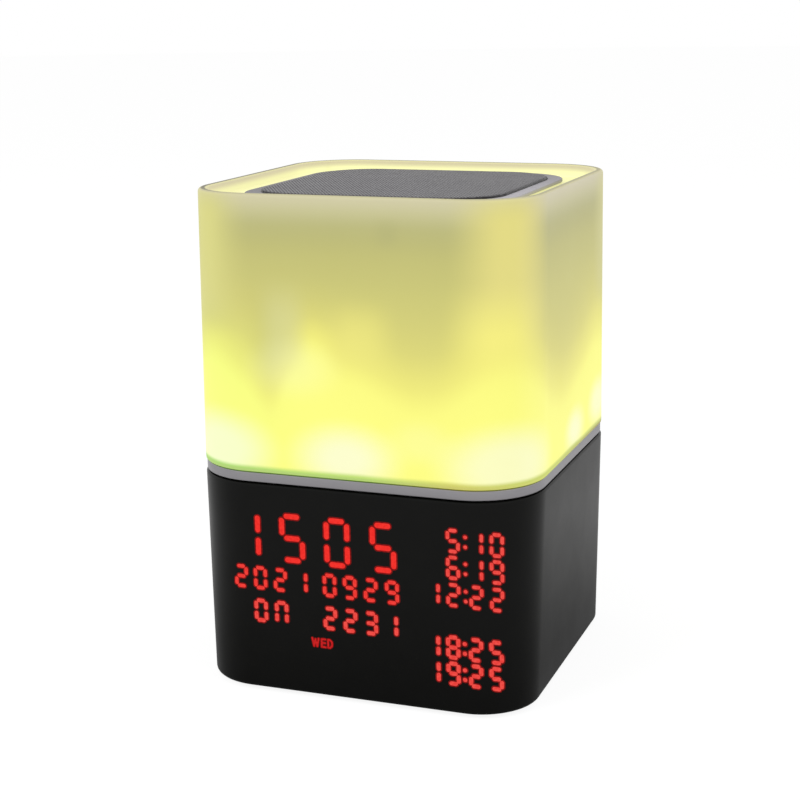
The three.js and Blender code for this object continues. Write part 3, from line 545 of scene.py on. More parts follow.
@dataclass(frozen=True)
class ShadeFinish(MilkFinish):
    """The shade's wall, with the painted light of eight lamps below."""

    climb: Stops = (
        (64.0, Tint(216, 216, 84)),
        (84.0, Tint(217, 216, 84)),
        (91.0, Tint(200, 193, 66)),
        (101.0, Tint(170, 162, 60)),
        (116.0, Tint(146, 140, 58)),
        (126.0, Tint(136, 130, 56)),
        (133.5, Tint(112, 108, 58)),
        (138.0, Tint(146, 140, 112)),
        (142.0, Tint(158, 148, 142)),
    )
    # Painted shadow of the base's lip in the light along the shade's foot.
    lip_shadow_band: Stops = (
        (-40, Tint(92, 168, 38)),
        (8, Tint(136, 178, 52)),
        (30, Tint(160, 157, 22)),
        (52, Tint(148, 164, 30)),
        (80, Tint(146, 158, 64)),
    )
    foot_line: Stops = (
        (-40, Tint(110, 160, 60)),
        (6, Tint(116, 160, 50)),
        (30, Tint(152, 146, 25)),
        (60, Tint(160, 172, 58)),
        (82, Tint(112, 98, 30)),
    )
    glows: tuple[Glow, ...] = (
        Glow(-39, -48, 71.0, 6, 22, 0.88),
        Glow(-0.7, -50, 71.0, 3, 20, 0.95),
        Glow(43, -44, 71.0, 6, 23, 0.78),
        Glow(50, 0.3, 71.0, 2, 14, 0.8),
        Glow(49.5, 28, 73.5, 3, 15, 0.76),
        Glow(37, 50, 71.0, 5, 19, 0.85),
        Glow(3, 50, 71.0, 3, 20, 0.95),
        Glow(-41, 45, 71.0, 6, 21, 0.85),
        Glow(-50, 2, 71.0, 2, 15, 0.8),
        Glow(-15.5, -50, 95.0, 3, 17, 0.2),
        Glow(21, -50, 77.0, 2, 13, 0.18),
    )
    lobes: tuple[Lobe, ...] = (
        Lobe(-11, -50, 11, 9.0),
        Lobe(-2, -50, 22, 7.5),
        Lobe(-40, -46, 19, 10.0),
        Lobe(43, -44, 21, 11.0),
        Lobe(50, 27, 22, 5.5),
        Lobe(44, 46, 14, 9.0),
        Lobe(14, 50, 14, 9.0),
        Lobe(4, 50, 22, 6.0),
        Lobe(-44, 44, 21, 9.0),
        Lobe(-50, -6, 18, 7.0),
        Lobe(-23, -50, 7, -3.0),
        Lobe(50, -12, 24, -4.5),
    )
    # Upright strips of painted light, warmer at the corners, and greyer strips of painted shadow.
    streaks: tuple[Streak, ...] = (
        Streak(44.5, -44.5, 18, 100, 149, 14, Tint(182, 170, 84), 1.0),
        Streak(42, -45.5, 17, 90, 122, 17, Tint(210, 201, 80), 0.85),
        Streak(-43, -46, 17, 100, 149, 14, Tint(166, 161, 84), 1.0),
        Streak(47, 38, 20, 100, 149, 14, Tint(160, 155, 100), 0.9),
        Streak(-44, 45, 18, 100, 149, 14, Tint(170, 163, 84), 1.0),
        Streak(4, -50, 12, 92, 117, 12, Tint(198, 189, 74), 0.6),
        Streak(-18, -50, 9, 90, 122, 14, Tint(166, 164, 118), 0.5),
        Streak(12, -50, 5, 127, 138, 5, Tint(104, 100, 58), 0.35),
    )
    climb_fade: Flat = (122, 101)
    streak_core: float = 0.1
    glow_tint: Tint = Tint(214, 215, 186)
    glow_squeeze: float = 1.6
    # The left part's greener light and the flanks' paler sheen are painted.
    green_x: Flat = (-4, -40)
    green_z: Flat = (116, 98)
    green_factor: tuple[float, ...] = (0.94, 1.04, 1.0, 1.0)
    flank_x: Flat = (44, 49.8)
    flank_sheen_blue: tuple[float, ...] = (0.0, 0.0, 0.036, 1.0)
    side_share: float = 0.4
    front: float = 50
    wave_size: float = 14
    wave_height: float = 0.6
    band_z: Flat = (67.6, 66.1)
    foot_z: Flat = (66.25, 65.85)

    def light(self, graph: NodeGraph) -> Socket:
        """Paints the light that climbs the wall.

        Args:
            graph: The material.

        Returns:
            The colour.
        """
        colour = graph.ramp(self.lit_height(graph), self.climb)
        for layer in (self.add_streaks, self.add_glows, self.painted_side_light, self.lower_edge):
            colour = layer(graph, colour)
        return colour

    def lit_height(self, graph: NodeGraph) -> Socket:
        """Lowers the height that the colour depends on where the light climbs higher.

        Args:
            graph: The material.

        Returns:
            The height for the colour ramp.
        """
        _, _, z = graph.axes
        rise: object = 0.0
        for lobe in self.lobes:
            away = graph.vector("DISTANCE", graph.flat, (lobe.x, lobe.y, 0))
            rise = graph.number("MULTIPLY_ADD", graph.slope(away, lobe.reach, 0), lobe.rise, rise)
        fade = graph.slope(z, *self.climb_fade)
        return graph.number("SUBTRACT", z, graph.number("MULTIPLY", rise, fade))

    def add_streaks(self, graph: NodeGraph, colour: Socket) -> Socket:
        """Adds the upright strips of painted light and shadow, the warm corners among them.

        Args:
            graph: The material.
            colour: The colour so far.

        Returns:
            The new colour.
        """
        _, _, z = graph.axes
        for streak in self.streaks:
            away = graph.vector("DISTANCE", graph.flat, (streak.x, streak.y, 0))
            share = graph.slope(away, streak.reach, streak.reach * self.streak_core)
            share = graph.number("MULTIPLY", share, streak.most)
            for end, inner in (
                (streak.low, streak.low + streak.fade),
                (streak.high, streak.high - streak.fade),
            ):
                share = graph.number("MULTIPLY", share, graph.slope(z, end, inner))
            colour = graph.mix(share, colour, streak.tint)
        return colour

    def add_glows(self, graph: NodeGraph, colour: Socket) -> Socket:
        """Adds the pale spots over the lamps.

        Args:
            graph: The material.
            colour: The colour so far.

        Returns:
            The new colour.
        """
        squeezed = graph.vector("MULTIPLY", graph.place, (1, 1, self.glow_squeeze))
        for glow in self.glows:
            away = graph.vector("DISTANCE", squeezed, (glow.x, glow.y, glow.z * self.glow_squeeze))
            share = graph.number("MULTIPLY", graph.slope(away, glow.far, glow.full), glow.most)
            colour = graph.mix(share, colour, self.glow_tint)
        return colour

    def painted_side_light(self, graph: NodeGraph, colour: Socket) -> Socket:
        """Makes the painted light greener on the left part and gives the flanks a paler painted sheen.

        Args:
            graph: The material.
            colour: The colour so far.

        Returns:
            The new colour.
        """
        x, _, z = graph.axes
        green = graph.number("MULTIPLY", graph.slope(x, *self.green_x), graph.slope(z, *self.green_z))
        colour = graph.mix(green, colour, self.green_factor, "MULTIPLY")
        flank = graph.slope(graph.number("ABSOLUTE", x), *self.flank_x)
        return graph.mix(flank, colour, self.flank_sheen_blue, "ADD")

    def lower_edge(self, graph: NodeGraph, colour: Socket) -> Socket:
        """Adds the green band of painted lip shadow and the pale line of painted light at the foot.

        Args:
            graph: The material.
            colour: The colour so far.

        Returns:
            The new colour.
        """
        x, y, z = graph.axes
        behind = graph.number("MULTIPLY", graph.number("ADD", y, self.front), self.side_share)
        along = graph.number("ADD", x, behind)
        lip_shadow_band = graph.ramp(along, self.lip_shadow_band)
        noise = graph.noise(self.wave_size, 1)
        wave = graph.number("MULTIPLY_ADD", noise, self.wave_height, -self.wave_height / 2)
        low = graph.number("ADD", z, wave)
        colour = graph.mix(graph.slope(low, *self.band_z), colour, lip_shadow_band)
        line = graph.ramp(along, self.foot_line)
        return graph.mix(graph.slope(z, *self.foot_z), colour, line)


@dataclass(frozen=True)
class DeckFinish(MilkFinish):
    """The lit deck inside the rim, and the rim's inner wall."""

    middle: Tint = Tint(206, 205, 148)
    outer: Tint = Tint(224, 223, 168)
    side: Tint = Tint(211, 208, 157)
    wall: Tint = Tint(172, 160, 144)
    outer_edge: Flat = (40.0, 43.5)
    side_x: Flat = (38, 47)
    side_y: Flat = (45, 20)
    wall_z: Flat = (139.1, 141.2)

    def light(self, graph: NodeGraph) -> Socket:
        """Paints the light on the deck, paler towards the rim and the back.

        Args:
            graph: The material.

        Returns:
            The colour.
        """
        x, y, z = graph.axes
        aside = graph.number("ABSOLUTE", x)
        across = graph.number("MAXIMUM", aside, graph.number("ABSOLUTE", y))
        edge = graph.slope(across, *self.outer_edge)
        colour = graph.mix(edge, self.middle, self.outer)
        beside = graph.slope(aside, *self.side_x)
        side = graph.number("MULTIPLY", beside, graph.slope(y, *self.side_y))
        colour = graph.mix(side, colour, self.side)
        return graph.mix(graph.slope(z, *self.wall_z), colour, self.wall)


CASING_BLACK = Finish(
    "casing_black", Tint(8, 8, 7), Tint(14, 14, 13), Surface.POLISHED,
    roughness=0.3, rough_drift=0.05, specular=0.1, grain=0.5, depth=0.004,
)
COVER_BLACK = Finish(
    "cover_black", Tint(24, 24, 24), Tint(34, 34, 34),
    roughness=0.62, rough_drift=0.06, specular=0.3, grain=0.35, depth=0.03,
)
FOOT_RUBBER = Finish(
    "foot_rubber", Tint(38, 38, 38), Tint(54, 54, 55),
    roughness=0.85, rough_drift=0.05, specular=0.2, grain=0.5, depth=0.03,
)
SCREW_STEEL = Finish(
    "screw_steel", Tint(150, 150, 152), Tint(182, 182, 184), Surface.BRUSHED,
    roughness=0.32, metallic=1, grain=0.3, depth=0.006,
)
RING_SILVER = Finish(
    "ring_silver", Tint(142, 140, 144), Tint(156, 154, 157), Surface.BRUSHED,
    roughness=0.36, rough_drift=0.05, metallic=0.85, grain=0.25, depth=0.004,
)
# The bezel is darker towards its back left, a painted reflection.
BEZEL_GREY = SlantFinish(
    "bezel_grey", Tint(162, 159, 165), Tint(174, 171, 176),
    rough_drift=0.06, metallic=0.2, specular=0.35, grain=0.35, depth=0.012, painted_dark=Tint(104, 101, 106),
)
# The grille's bent edge is darkened with painted shadow.
GRILLE_METAL = BentFinish(
    "grille_metal", Tint(80, 78, 82), Tint(91, 88, 92),
    roughness=0.42, rough_drift=0.06, metallic=0.6, specular=0.4, grain=0.3, depth=0.008,
)
HOUSING_WHITE = Finish(
    "housing_white", Tint(205, 205, 198), Tint(222, 221, 214),
    roughness=0.55, rough_drift=0.06, specular=0.35, grain=0.5,
)
PLATED_STEEL = Finish(
    "plated_steel", Tint(152, 152, 150), Tint(176, 175, 170), Surface.BRUSHED,
    roughness=0.35, metallic=1, grain=0.5, depth=0.008,
)
FERRITE = Finish(
    "ferrite", Tint(40, 40, 43), Tint(58, 58, 62), Surface.CAST,
    roughness=0.72, rough_drift=0.1, metallic=0.1, specular=0.3, grain=0.9, depth=0.05,
)
CONE_PAPER = Finish(
    "cone_paper", Tint(30, 30, 31), Tint(52, 51, 50), Surface.PRESSED,
    roughness=0.86, rough_drift=0.06, specular=0.2, grain=0.8, depth=0.06,
)
DUST_CAP = Finish(
    "dust_cap_cloth", Tint(26, 26, 27), Tint(44, 44, 45), Surface.WOVEN,
    roughness=0.7, specular=0.3, grain=0.7, depth=0.04,
)
COIL_COPPER = Finish(
    "coil_copper", Tint(166, 92, 48), Tint(214, 138, 84), Surface.WOUND,
    roughness=0.34, rough_drift=0.06, metallic=1, grain=0.24, depth=0.05,
)
SURROUND_RUBBER = Finish(
    "surround_rubber", Tint(28, 28, 29), Tint(40, 40, 41),
    roughness=0.6, specular=0.3,
)
SPIDER_CLOTH = Finish(
    "spider_cloth", Tint(176, 132, 70), Tint(206, 164, 98), Surface.WOVEN,
    roughness=0.85, rough_drift=0.05, specular=0.2, grain=0.5, depth=0.06,
)
BOARD_WHITE = Finish(
    "board_white", Tint(214, 214, 206), Tint(232, 232, 226), Surface.BOARD,
    roughness=0.4, specular=0.4, grain=2.6, depth=0.03,
)
BOARD_GREEN = Finish(
    "board_green", Tint(24, 84, 44), Tint(46, 118, 66), Surface.BOARD,
    roughness=0.36, specular=0.45, grain=1.7, depth=0.03,
)
DIGIT_BLOCK = Finish(
    "digit_block", Tint(44, 43, 42), Tint(58, 56, 55),
    specular=0.35, grain=0.4, depth=0.01,
)
MODULE_BLACK = Finish(
    "module_black", Tint(36, 40, 44), Tint(52, 56, 60), Surface.BOARD,
    roughness=0.45, metallic=0.1, specular=0.4, grain=1.3,
)
SOCKET_STEEL = Finish(
    "socket_steel", Tint(158, 158, 162), Tint(190, 190, 194), Surface.BRUSHED,
    roughness=0.28, metallic=1, grain=0.4, depth=0.006,
)
SOCKET_BLACK = Finish(
    "socket_black", Tint(18, 18, 18), Tint(30, 30, 30),
    specular=0.35, grain=0.4, depth=0.01,
)
CONTACT_GOLD = Finish(
    "contact_gold", Tint(208, 166, 82), Tint(232, 196, 116), Surface.BRUSHED,
    roughness=0.28, rough_drift=0.06, metallic=1, grain=0.3, depth=0.004,
)
KNOB_BLACK = Finish(
    "knob_black", Tint(30, 30, 30), Tint(44, 44, 44),
    roughness=0.55, rough_drift=0.06, specular=0.35, grain=0.3,
)
BUTTON_BLACK = Finish(
    "button_black", Tint(30, 30, 31), Tint(42, 42, 43),
    roughness=0.48, rough_drift=0.06, specular=0.35, grain=0.4, depth=0.015,
)
MARK_WHITE = Finish(
    "mark_white", Tint(196, 196, 194), Tint(214, 214, 212),
    roughness=0.6, rough_drift=0.06, specular=0.3, grain=0.3, depth=0.006,
)
CELL_WRAP = Finish(
    "cell_wrap", Tint(40, 92, 160), Tint(58, 112, 182), Surface.POLISHED,
    roughness=0.3, grain=0.8, depth=0.01,
)
FIGURE_RED = LitFinish("figure_red", Tint(242, 48, 40), Tint(234, 40, 34))
FIGURE_SOFT = LitFinish("figure_soft", Tint(240, 62, 54), Tint(232, 50, 44))
FIGURE_PALE = LitFinish("figure_pale", Tint(238, 78, 70), Tint(230, 62, 56))
# A dim painted glow of red light round each lit bar.
FIGURE_GLOW_EDGE = LitFinish("figure_glow_edge", Tint(128, 10, 8), Tint(104, 6, 6))
WORD_RED = LitFinish("word_red", Tint(204, 30, 30), Tint(180, 24, 26), 0.4)
LAMP_WARM = LitFinish("lamp_warm", Tint(255, 255, 214), Tint(255, 252, 176), 1.2, Tint(240, 236, 190))
SHADE_GLOW = ShadeFinish("shade_glow")
DECK_GLOW = DeckFinish("deck_glow")


# Meshes


@dataclass(frozen=True)
class SquareOutline:
    """A square with round corners, seen from above."""

    half: float
    radius: float

    def points(self, steps: int = 24, sides: int = 6) -> list[Flat]:
        """Walks round the outline, anticlockwise from the right side.

        Args:
            steps: How many steps a corner has.
            sides: How many steps a straight side has.

        Returns:
            The points; every outline of the same steps has as many.
        """
        found: list[Flat] = []
        middle = self.half - self.radius
        for quarter in range(4):
            start = quarter * math.pi / 2
            turn = (math.cos(start), math.sin(start))
            for index in range(sides):
                share = -1 + 2 * index / sides
                found.append(self.turned((self.half, middle * share), turn))
            for index in range(steps):
                angle = index / steps * math.pi / 2
                x, y = self.radius * math.cos(angle), self.radius * math.sin(angle)
                found.append(self.turned((middle + x, middle + y), turn))
        return found

    def turned(self, point: Flat, turn: Flat) -> Flat:
        """Returns the point turned about the middle by that cosine and sine."""
        return (point[0] * turn[0] - point[1] * turn[1], point[0] * turn[1] + point[1] * turn[0])

    def inset(self, amount: float) -> SquareOutline:
        """Returns the outline that lies that far inside this one."""
        return SquareOutline(self.half - amount, max(self.radius - amount, LEAST_ROUND))

    def distance(self, x: float, y: float) -> float:
        """Measures how far a point lies outside the outline.

        Args:
            x: Where the point lies across the front.
            y: Where it lies towards the back.

        Returns:
            The distance in millimetres, negative inside.
        """
        side = self.half - self.radius
        across, along = abs(x) - side, abs(y) - side
        outside = math.hypot(max(across, 0.0), max(along, 0.0))
        return outside + min(max(across, along), 0.0) - self.radius


def round_outline(like: list[Flat], radius: float) -> list[Flat]:
    """Returns points on a circle at the angles of an outline's points."""
    return [(radius * x / math.hypot(x, y), radius * y / math.hypot(x, y)) for x, y in like]


def circle(radius: float, steps: int) -> list[Flat]:
    """Returns points evenly round a circle."""
    turns = [2 * math.pi * index / steps for index in range(steps)]
    return [(radius * math.cos(turn), radius * math.sin(turn)) for turn in turns]


def quarter_turn(size: float, steps: int) -> list[Flat]:
    """Returns (inset, drop) pairs of a rounded edge, from the side to the top."""
    angles = [index / steps * math.pi / 2 for index in range(steps + 1)]
    return [(size * (1 - math.cos(angle)), size * (1 - math.sin(angle))) for angle in angles]


def upper_edge(top: float, size: float, steps: int = 5) -> list[Flat]:
    """Returns (inset, height) pairs of a rounded edge, from the side to the top."""
    return [(inset, top - drop) for inset, drop in quarter_turn(size, steps)]


def lower_edge(bottom: float, size: float, steps: int = 5) -> list[Flat]:
    """Returns (inset, height) pairs of a rounded edge, from the bottom to the side."""
    return [(inset, bottom + drop) for inset, drop in reversed(quarter_turn(size, steps))]


@dataclass
class MeshDraft:
    """The corners and faces of one piece, in millimetres, before it is an object."""

    corners: list[Point] = field(default_factory=list)
    faces: list[tuple[int, ...]] = field(default_factory=list)
    paints: list[int] = field(default_factory=list)

    def ring(self, outline: list[Flat], z: float) -> list[int]:
        """Adds a level loop and returns its corners' numbers."""
        return self.loop([(x, y, z) for x, y in outline])

    def loop(self, points: list[Point]) -> list[int]:
        """Adds points and returns their numbers."""
        self.corners.extend(points)
        return list(range(len(self.corners) - len(points), len(self.corners)))

    def face(self, corners: tuple[int, ...] | list[int], paint: int = 0) -> None:
        """Adds a face in that material slot."""
        self.faces.append(tuple(corners))
        self.paints.append(paint)

    def skin(self, first: list[int], second: list[int], paint: int = 0) -> None:
        """Joins two closed loops of as many corners with a strip of faces.

        Args:
            first: The lower or inner loop.
            second: The loop after it.
            paint: The material slot of the strip.
        """
        count = len(first)
        for index in range(count):
            after = (index + 1) % count
            self.face((first[index], first[after], second[after], second[index]), paint)

    def stack(self, loops: list[list[int]], closed: bool = False, paint: int = 0) -> None:
        """Skins neighbouring loops.

        Args:
            loops: The loops in order.
            closed: Whether the last one joins the first.
            paint: The material slot.
        """
        for first, second in zip(loops, loops[1:]):
            self.skin(first, second, paint)
        if closed:
            self.skin(loops[-1], loops[0], paint)

    def make(self, name: str, crease: float = CREASE) -> Piece:
        """Turns the draft into an object in metres.

        Args:
            name: The piece's name.
            crease: The angle in degrees from which an edge stays sharp.

        Returns:
            The object.
        """
        mesh = bpy.data.meshes.new(name)
        places = [tuple(value * MILLIMETRE for value in corner) for corner in self.corners]
        mesh.from_pydata(places, [], self.faces)
        mesh.polygons.foreach_set("material_index", self.paints)
        work = bmesh.new()
        work.from_mesh(mesh)
        bmesh.ops.remove_doubles(work, verts=work.verts, dist=WELD)
        bmesh.ops.recalc_face_normals(work, faces=work.faces)
        work.to_mesh(mesh)
        work.free()
        mesh.polygons.foreach_set("use_smooth", [True] * len(mesh.polygons))
        mesh.set_sharp_from_angle(angle=math.radians(crease))
        piece = bpy.data.objects.new(name, mesh)
        bpy.context.scene.collection.objects.link(piece)
        return piece


def apply_modifiers(piece: Piece) -> None:
    """Applies a piece's modifiers to its mesh.

    Args:
        piece: The piece.
    """
    graph = bpy.context.evaluated_depsgraph_get()
    graph.update()
    mesh = bpy.data.meshes.new_from_object(piece.evaluated_get(graph))
    mesh.name = piece.name
    piece.modifiers.clear()
    piece.data = mesh


def cut(piece: Piece, cutters: list[Piece]) -> Piece:
    """Cuts holes into a piece.

    Args:
        piece: What is cut.
        cutters: Closed shapes that are taken away, and deleted.

    Returns:
        The piece.
    """
    for cutter in cutters:
        step = piece.modifiers.new("cut", "BOOLEAN")
        step.operation = "DIFFERENCE"
        step.solver = "EXACT"
        step.object = cutter
    apply_modifiers(piece)
    for cutter in cutters:
        bpy.data.objects.remove(cutter)
    return piece


def soften(piece: Piece, width: float, limit: float = 50.0) -> None:
    """Rounds a piece's sharp edges a little.

    Args:
        piece: The piece.
        width: The edge round in millimetres.
        limit: The angle in degrees from which an edge is rounded.
    """
    bevel = piece.modifiers.new("edge_round", "BEVEL")
    bevel.width = width * MILLIMETRE
    bevel.segments = 2
    bevel.limit_method = "ANGLE"
    bevel.angle_limit = math.radians(limit)
    bevel.harden_normals = True
    bevel.use_clamp_overlap = True


def dress(piece: Piece, *finishes: Dressing) -> Piece:
    """Gives a piece its materials.

    Args:
        piece: The piece.
        *finishes: Its surfaces, in the order of its material slots.

    Returns:
        The piece.
    """
    paints = [face.material_index for face in piece.data.polygons]
    piece.data.materials.clear()
    for finish in finishes:
        piece.data.materials.append(finish.material())
    last = len(finishes) - 1
    piece.data.polygons.foreach_set("material_index", [min(paint, last) for paint in paints])
    return piece


def place_piece(piece: Piece, node: str = "", body: str = "root") -> None:
    """Lets a piece ride on its body and hides the node that it replaces.

    Args:
        piece: The piece, in place.
        node: The node that it replaces, if any.
        body: The body that carries it.
    """
    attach(piece, body)
    if node:
        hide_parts(node)
    LOG.info("piece %s on %s, %d faces", piece.name, body, len(piece.data.polygons))


def span(node: str) -> tuple[Point, Point]:
    """Returns a node's lowest and highest corners in millimetres."""
    low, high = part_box(node)
    return tuple(value / MILLIMETRE for value in low), tuple(value / MILLIMETRE for value in high)


def keep_node(node: str, finish: Dressing, edge: float = 0.0) -> None:
    """Leaves a solid as it is, with its material.

    Args:
        node: The node's name.
        finish: Its surface.
        edge: The round of its sharp edges in millimetres, if any.
    """
    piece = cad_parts[node]
    dress(piece, finish)
    if edge:
        soften(piece, edge, limit=40)
    LOG.info("node %s keeps its solid, %s", node, finish.name)


# Sub-assemblies


@dataclass
class CasingShape:
    """The outer faces of the clock base, which lean in towards the table."""

    low: float = 1.0
    high: float = 61.8
    low_half: float = 48.8
    high_half: float = 50.0
    low_radius: float = 16.9
    high_radius: float = 19.6

    def outline(self, z: float) -> SquareOutline:
        """Finds the outline at a height.

        Args:
            z: The height in millimetres.

        Returns:
            The outline.
        """
        share = (z - self.low) / (self.high - self.low)
        half = self.low_half + (self.high_half - self.low_half) * share
        return SquareOutline(half, self.low_radius + (self.high_radius - self.low_radius) * share)


@dataclass
class ClockBase:
    """The black casing with its bottom cover, feet and screws."""

    shape: CasingShape = field(default_factory=CasingShape)
    wall: float = 2.2
    bottom_round: float = 1.3
    top_round: float = 0.7
    lip_inset: float = 2.8
    lip_thickness: float = 1.6
    lip_top: float = 70.0
    deck_low: float = 59.4
    wire_hole: float = 6.0
    levels: tuple[float, ...] = (12.0, 24.0, 36.0, 48.0)
    lip_edge: float = 0.4
    hole_edge: float = 0.22
    button_hole: float = 3.5
    holes: tuple[tuple[str | float, ...], ...] = (
        ("usb_socket", 0.6, 0.35),
        ("power_socket", 1.7, 0.3),
        ("card_socket", 0.6, 0.35),
        ("audio_jack", 3.7),
        ("switch_knob", 0.5, 0.3, 2.5),
    )
    hole_y: Flat = (44.0, 56.0)
    foot_round: float = 0.5
    foot_dish: float = 0.25
    foot_dish_shares: Flat = (0.55, 0.62)
    foot_steps: int = 48
    axis: float = 0.001

    def build(self) -> None:
        """Builds the casing and dresses what it carries."""
        shell = cut(self.shell(), self.cutters())
        shell.data.set_sharp_from_angle(angle=math.radians(CREASE))
        soften(shell, self.hole_edge)
        place_piece(dress(shell, CASING_BLACK), "base_casing")
        keep_node("bottom_cover", COVER_BLACK, 0.25)
        for end in CORNERS:
            self.foot("foot_" + end)
            keep_node("cover_screw_" + end, SCREW_STEEL, 0.1)

    def shell(self) -> Piece:
        """Builds the casing's shell without its openings.

        Returns:
            The shell.
        """
        draft = MeshDraft()
        shape = self.shape
        marks = lower_edge(shape.low, self.bottom_round)
        marks += [(0.0, z) for z in self.levels]
        marks += upper_edge(shape.high, self.top_round)
        lip_out, lip_in = self.lip_inset, self.lip_inset + self.lip_thickness
        edge, top = self.lip_edge, self.lip_top
        marks += [(lip_out, shape.high), (lip_out, top - edge), (lip_out + edge, top)]
        marks += [(lip_in - edge, top), (lip_in, top - edge), (lip_in, shape.high)]
        loops = []
        for inset, z in marks:
            outline = shape.outline(min(z, shape.high)).inset(inset)
            loops.append(draft.ring(outline.points(), z))
        like = shape.outline(shape.high).points()
        hole = round_outline(like, self.wire_hole)
        loops.append(draft.ring(hole, shape.high))
        loops.append(draft.ring(hole, self.deck_low))
        loops.append(draft.ring(shape.outline(self.deck_low).inset(self.wall).points(), self.deck_low))
        loops.append(draft.ring(shape.outline(shape.low).inset(self.wall).points(), shape.low))
        draft.stack(loops, closed=True)
        return draft.make("clock_casing")

    def cutters(self) -> list[Piece]:
        """Makes the prisms of the openings in the back, one for each button, socket and switch."""
        found = [self.opening(mark.value, self.button_hole) for mark in Mark]
        return found + [self.opening(*hole) for hole in self.holes]

    def opening(self, node: str, radius: float, gap: float | None = None, travel: float = 0.0) -> Piece:
        """Makes a prism that runs through the back wall.

        Args:
            node: What the opening is for.
            radius: The radius of its corners, or of a round one.
            gap: The room round the node; a round opening has none given.
            travel: How far the node slides along x.

        Returns:
            The prism.
        """
        solid = BackSolid(node, travel)
        if gap is None:
            outline = rounded(radius, radius, radius)
        else:
            wide, tall = (side + gap for side in solid.half)
            outline = rounded(wide, tall, min(radius, tall - 0.01))
        solid.prism(outline, *self.hole_y)
        return solid.draft.make("opening_" + node)

    def foot(self, node: str) -> None:
        """Builds a rubber foot with a round edge and a shallow dish.

        Args:
            node: The foot's node.
        """
        low, high = span(node)
        centre = ((low[0] + high[0]) / 2, (low[1] + high[1]) / 2)
        radius = (high[0] - low[0]) / 2
        dish = low[2] + self.foot_dish
        inner, outer = self.foot_dish_shares
        profile = [(self.axis, dish), (radius * inner, dish), (radius * outer, low[2])]
        profile += [(radius - inset, z) for inset, z in lower_edge(low[2], self.foot_round, 4)]
        profile += [(radius, high[2]), (self.axis, high[2])]
        draft = MeshDraft()
        loops = []
        for wide, z in profile:
            line = circle(wide, self.foot_steps)
            loops.append(draft.ring([(centre[0] + x, centre[1] + y) for x, y in line], z))
        draft.stack(loops)
        draft.face(loops[0])
        draft.face(loops[-1])
        piece = dress(draft.make(node.replace("foot", "rubber_foot")), FOOT_RUBBER)
        place_piece(piece, node)


class Bar(Enum):
    """The seven bars of a figure."""

    TOP = "a"
    UPPER_RIGHT = "b"
    LOWER_RIGHT = "c"
    BOTTOM = "d"
    LOWER_LEFT = "e"
    UPPER_LEFT = "f"
    MIDDLE = "g"


FIGURE_BARS = {
    "0": "abcdef", "1": "bc", "2": "abged", "3": "abgcd", "5": "afgcd",
    "6": "afgedc", "8": "abcdefg", "9": "abcdfg", "n": "abcef",
}


@dataclass
class FigureRow:
    """One line of lit figures on the flat of the front."""

    figures: str
    lefts: tuple[float, ...]
    low: float
    core: float
    glow: float
    width: float = 4.1
    height: float = 6.95
    stroke: float = 1.1
    colon: float | None = None
    dot_rise: float = 1.4
    dot_half: float = 0.03
    left_gap: float = 0.74
    right_gap: float = 0.78
    middle_gap: float = 0.32
    end_gap: float = 0.7

    def strokes(self) -> list[tuple[Flat, Flat]]:
        """Lists the row's bars.

        Returns:
            The start and the end of each, as x and z.
        """
        found = []
        for figure, left in zip(self.figures, self.lefts):
            for bar in Bar:
                if bar.value in FIGURE_BARS[figure]:
                    found.append(self.stroke_of(bar, left))
        if self.colon is not None:
            for rise in (-self.dot_rise, self.dot_rise):
                z = self.low + self.height / 2 + rise
                found.append(((self.colon - self.dot_half, z), (self.colon + self.dot_half, z)))
        return found

    def stroke_of(self, bar: Bar, left: float) -> tuple[Flat, Flat]:
        """Places one bar of a figure.

        Args:
            bar: Which bar.
            left: The figure's left edge.

        Returns:
            The bar's start and end.
        """
        thick, half = self.stroke, self.stroke / 2
        top, middle = self.low + self.height, self.low + self.height / 2
        if bar in (Bar.TOP, Bar.MIDDLE, Bar.BOTTOM):
            z = {Bar.TOP: top - half, Bar.MIDDLE: middle, Bar.BOTTOM: self.low + half}[bar]
            right = left + self.width - thick * self.right_gap - half
            return ((left + thick * self.left_gap + half, z), (right, z))
        x = left + half if bar in (Bar.LOWER_LEFT, Bar.UPPER_LEFT) else left + self.width - half
        if bar in (Bar.UPPER_LEFT, Bar.UPPER_RIGHT):
            low, high = middle + thick * self.middle_gap, top - thick * self.end_gap
        else:
            low, high = self.low + thick * self.end_gap, middle - thick * self.middle_gap
        return ((x, low + half), (x, high - half))


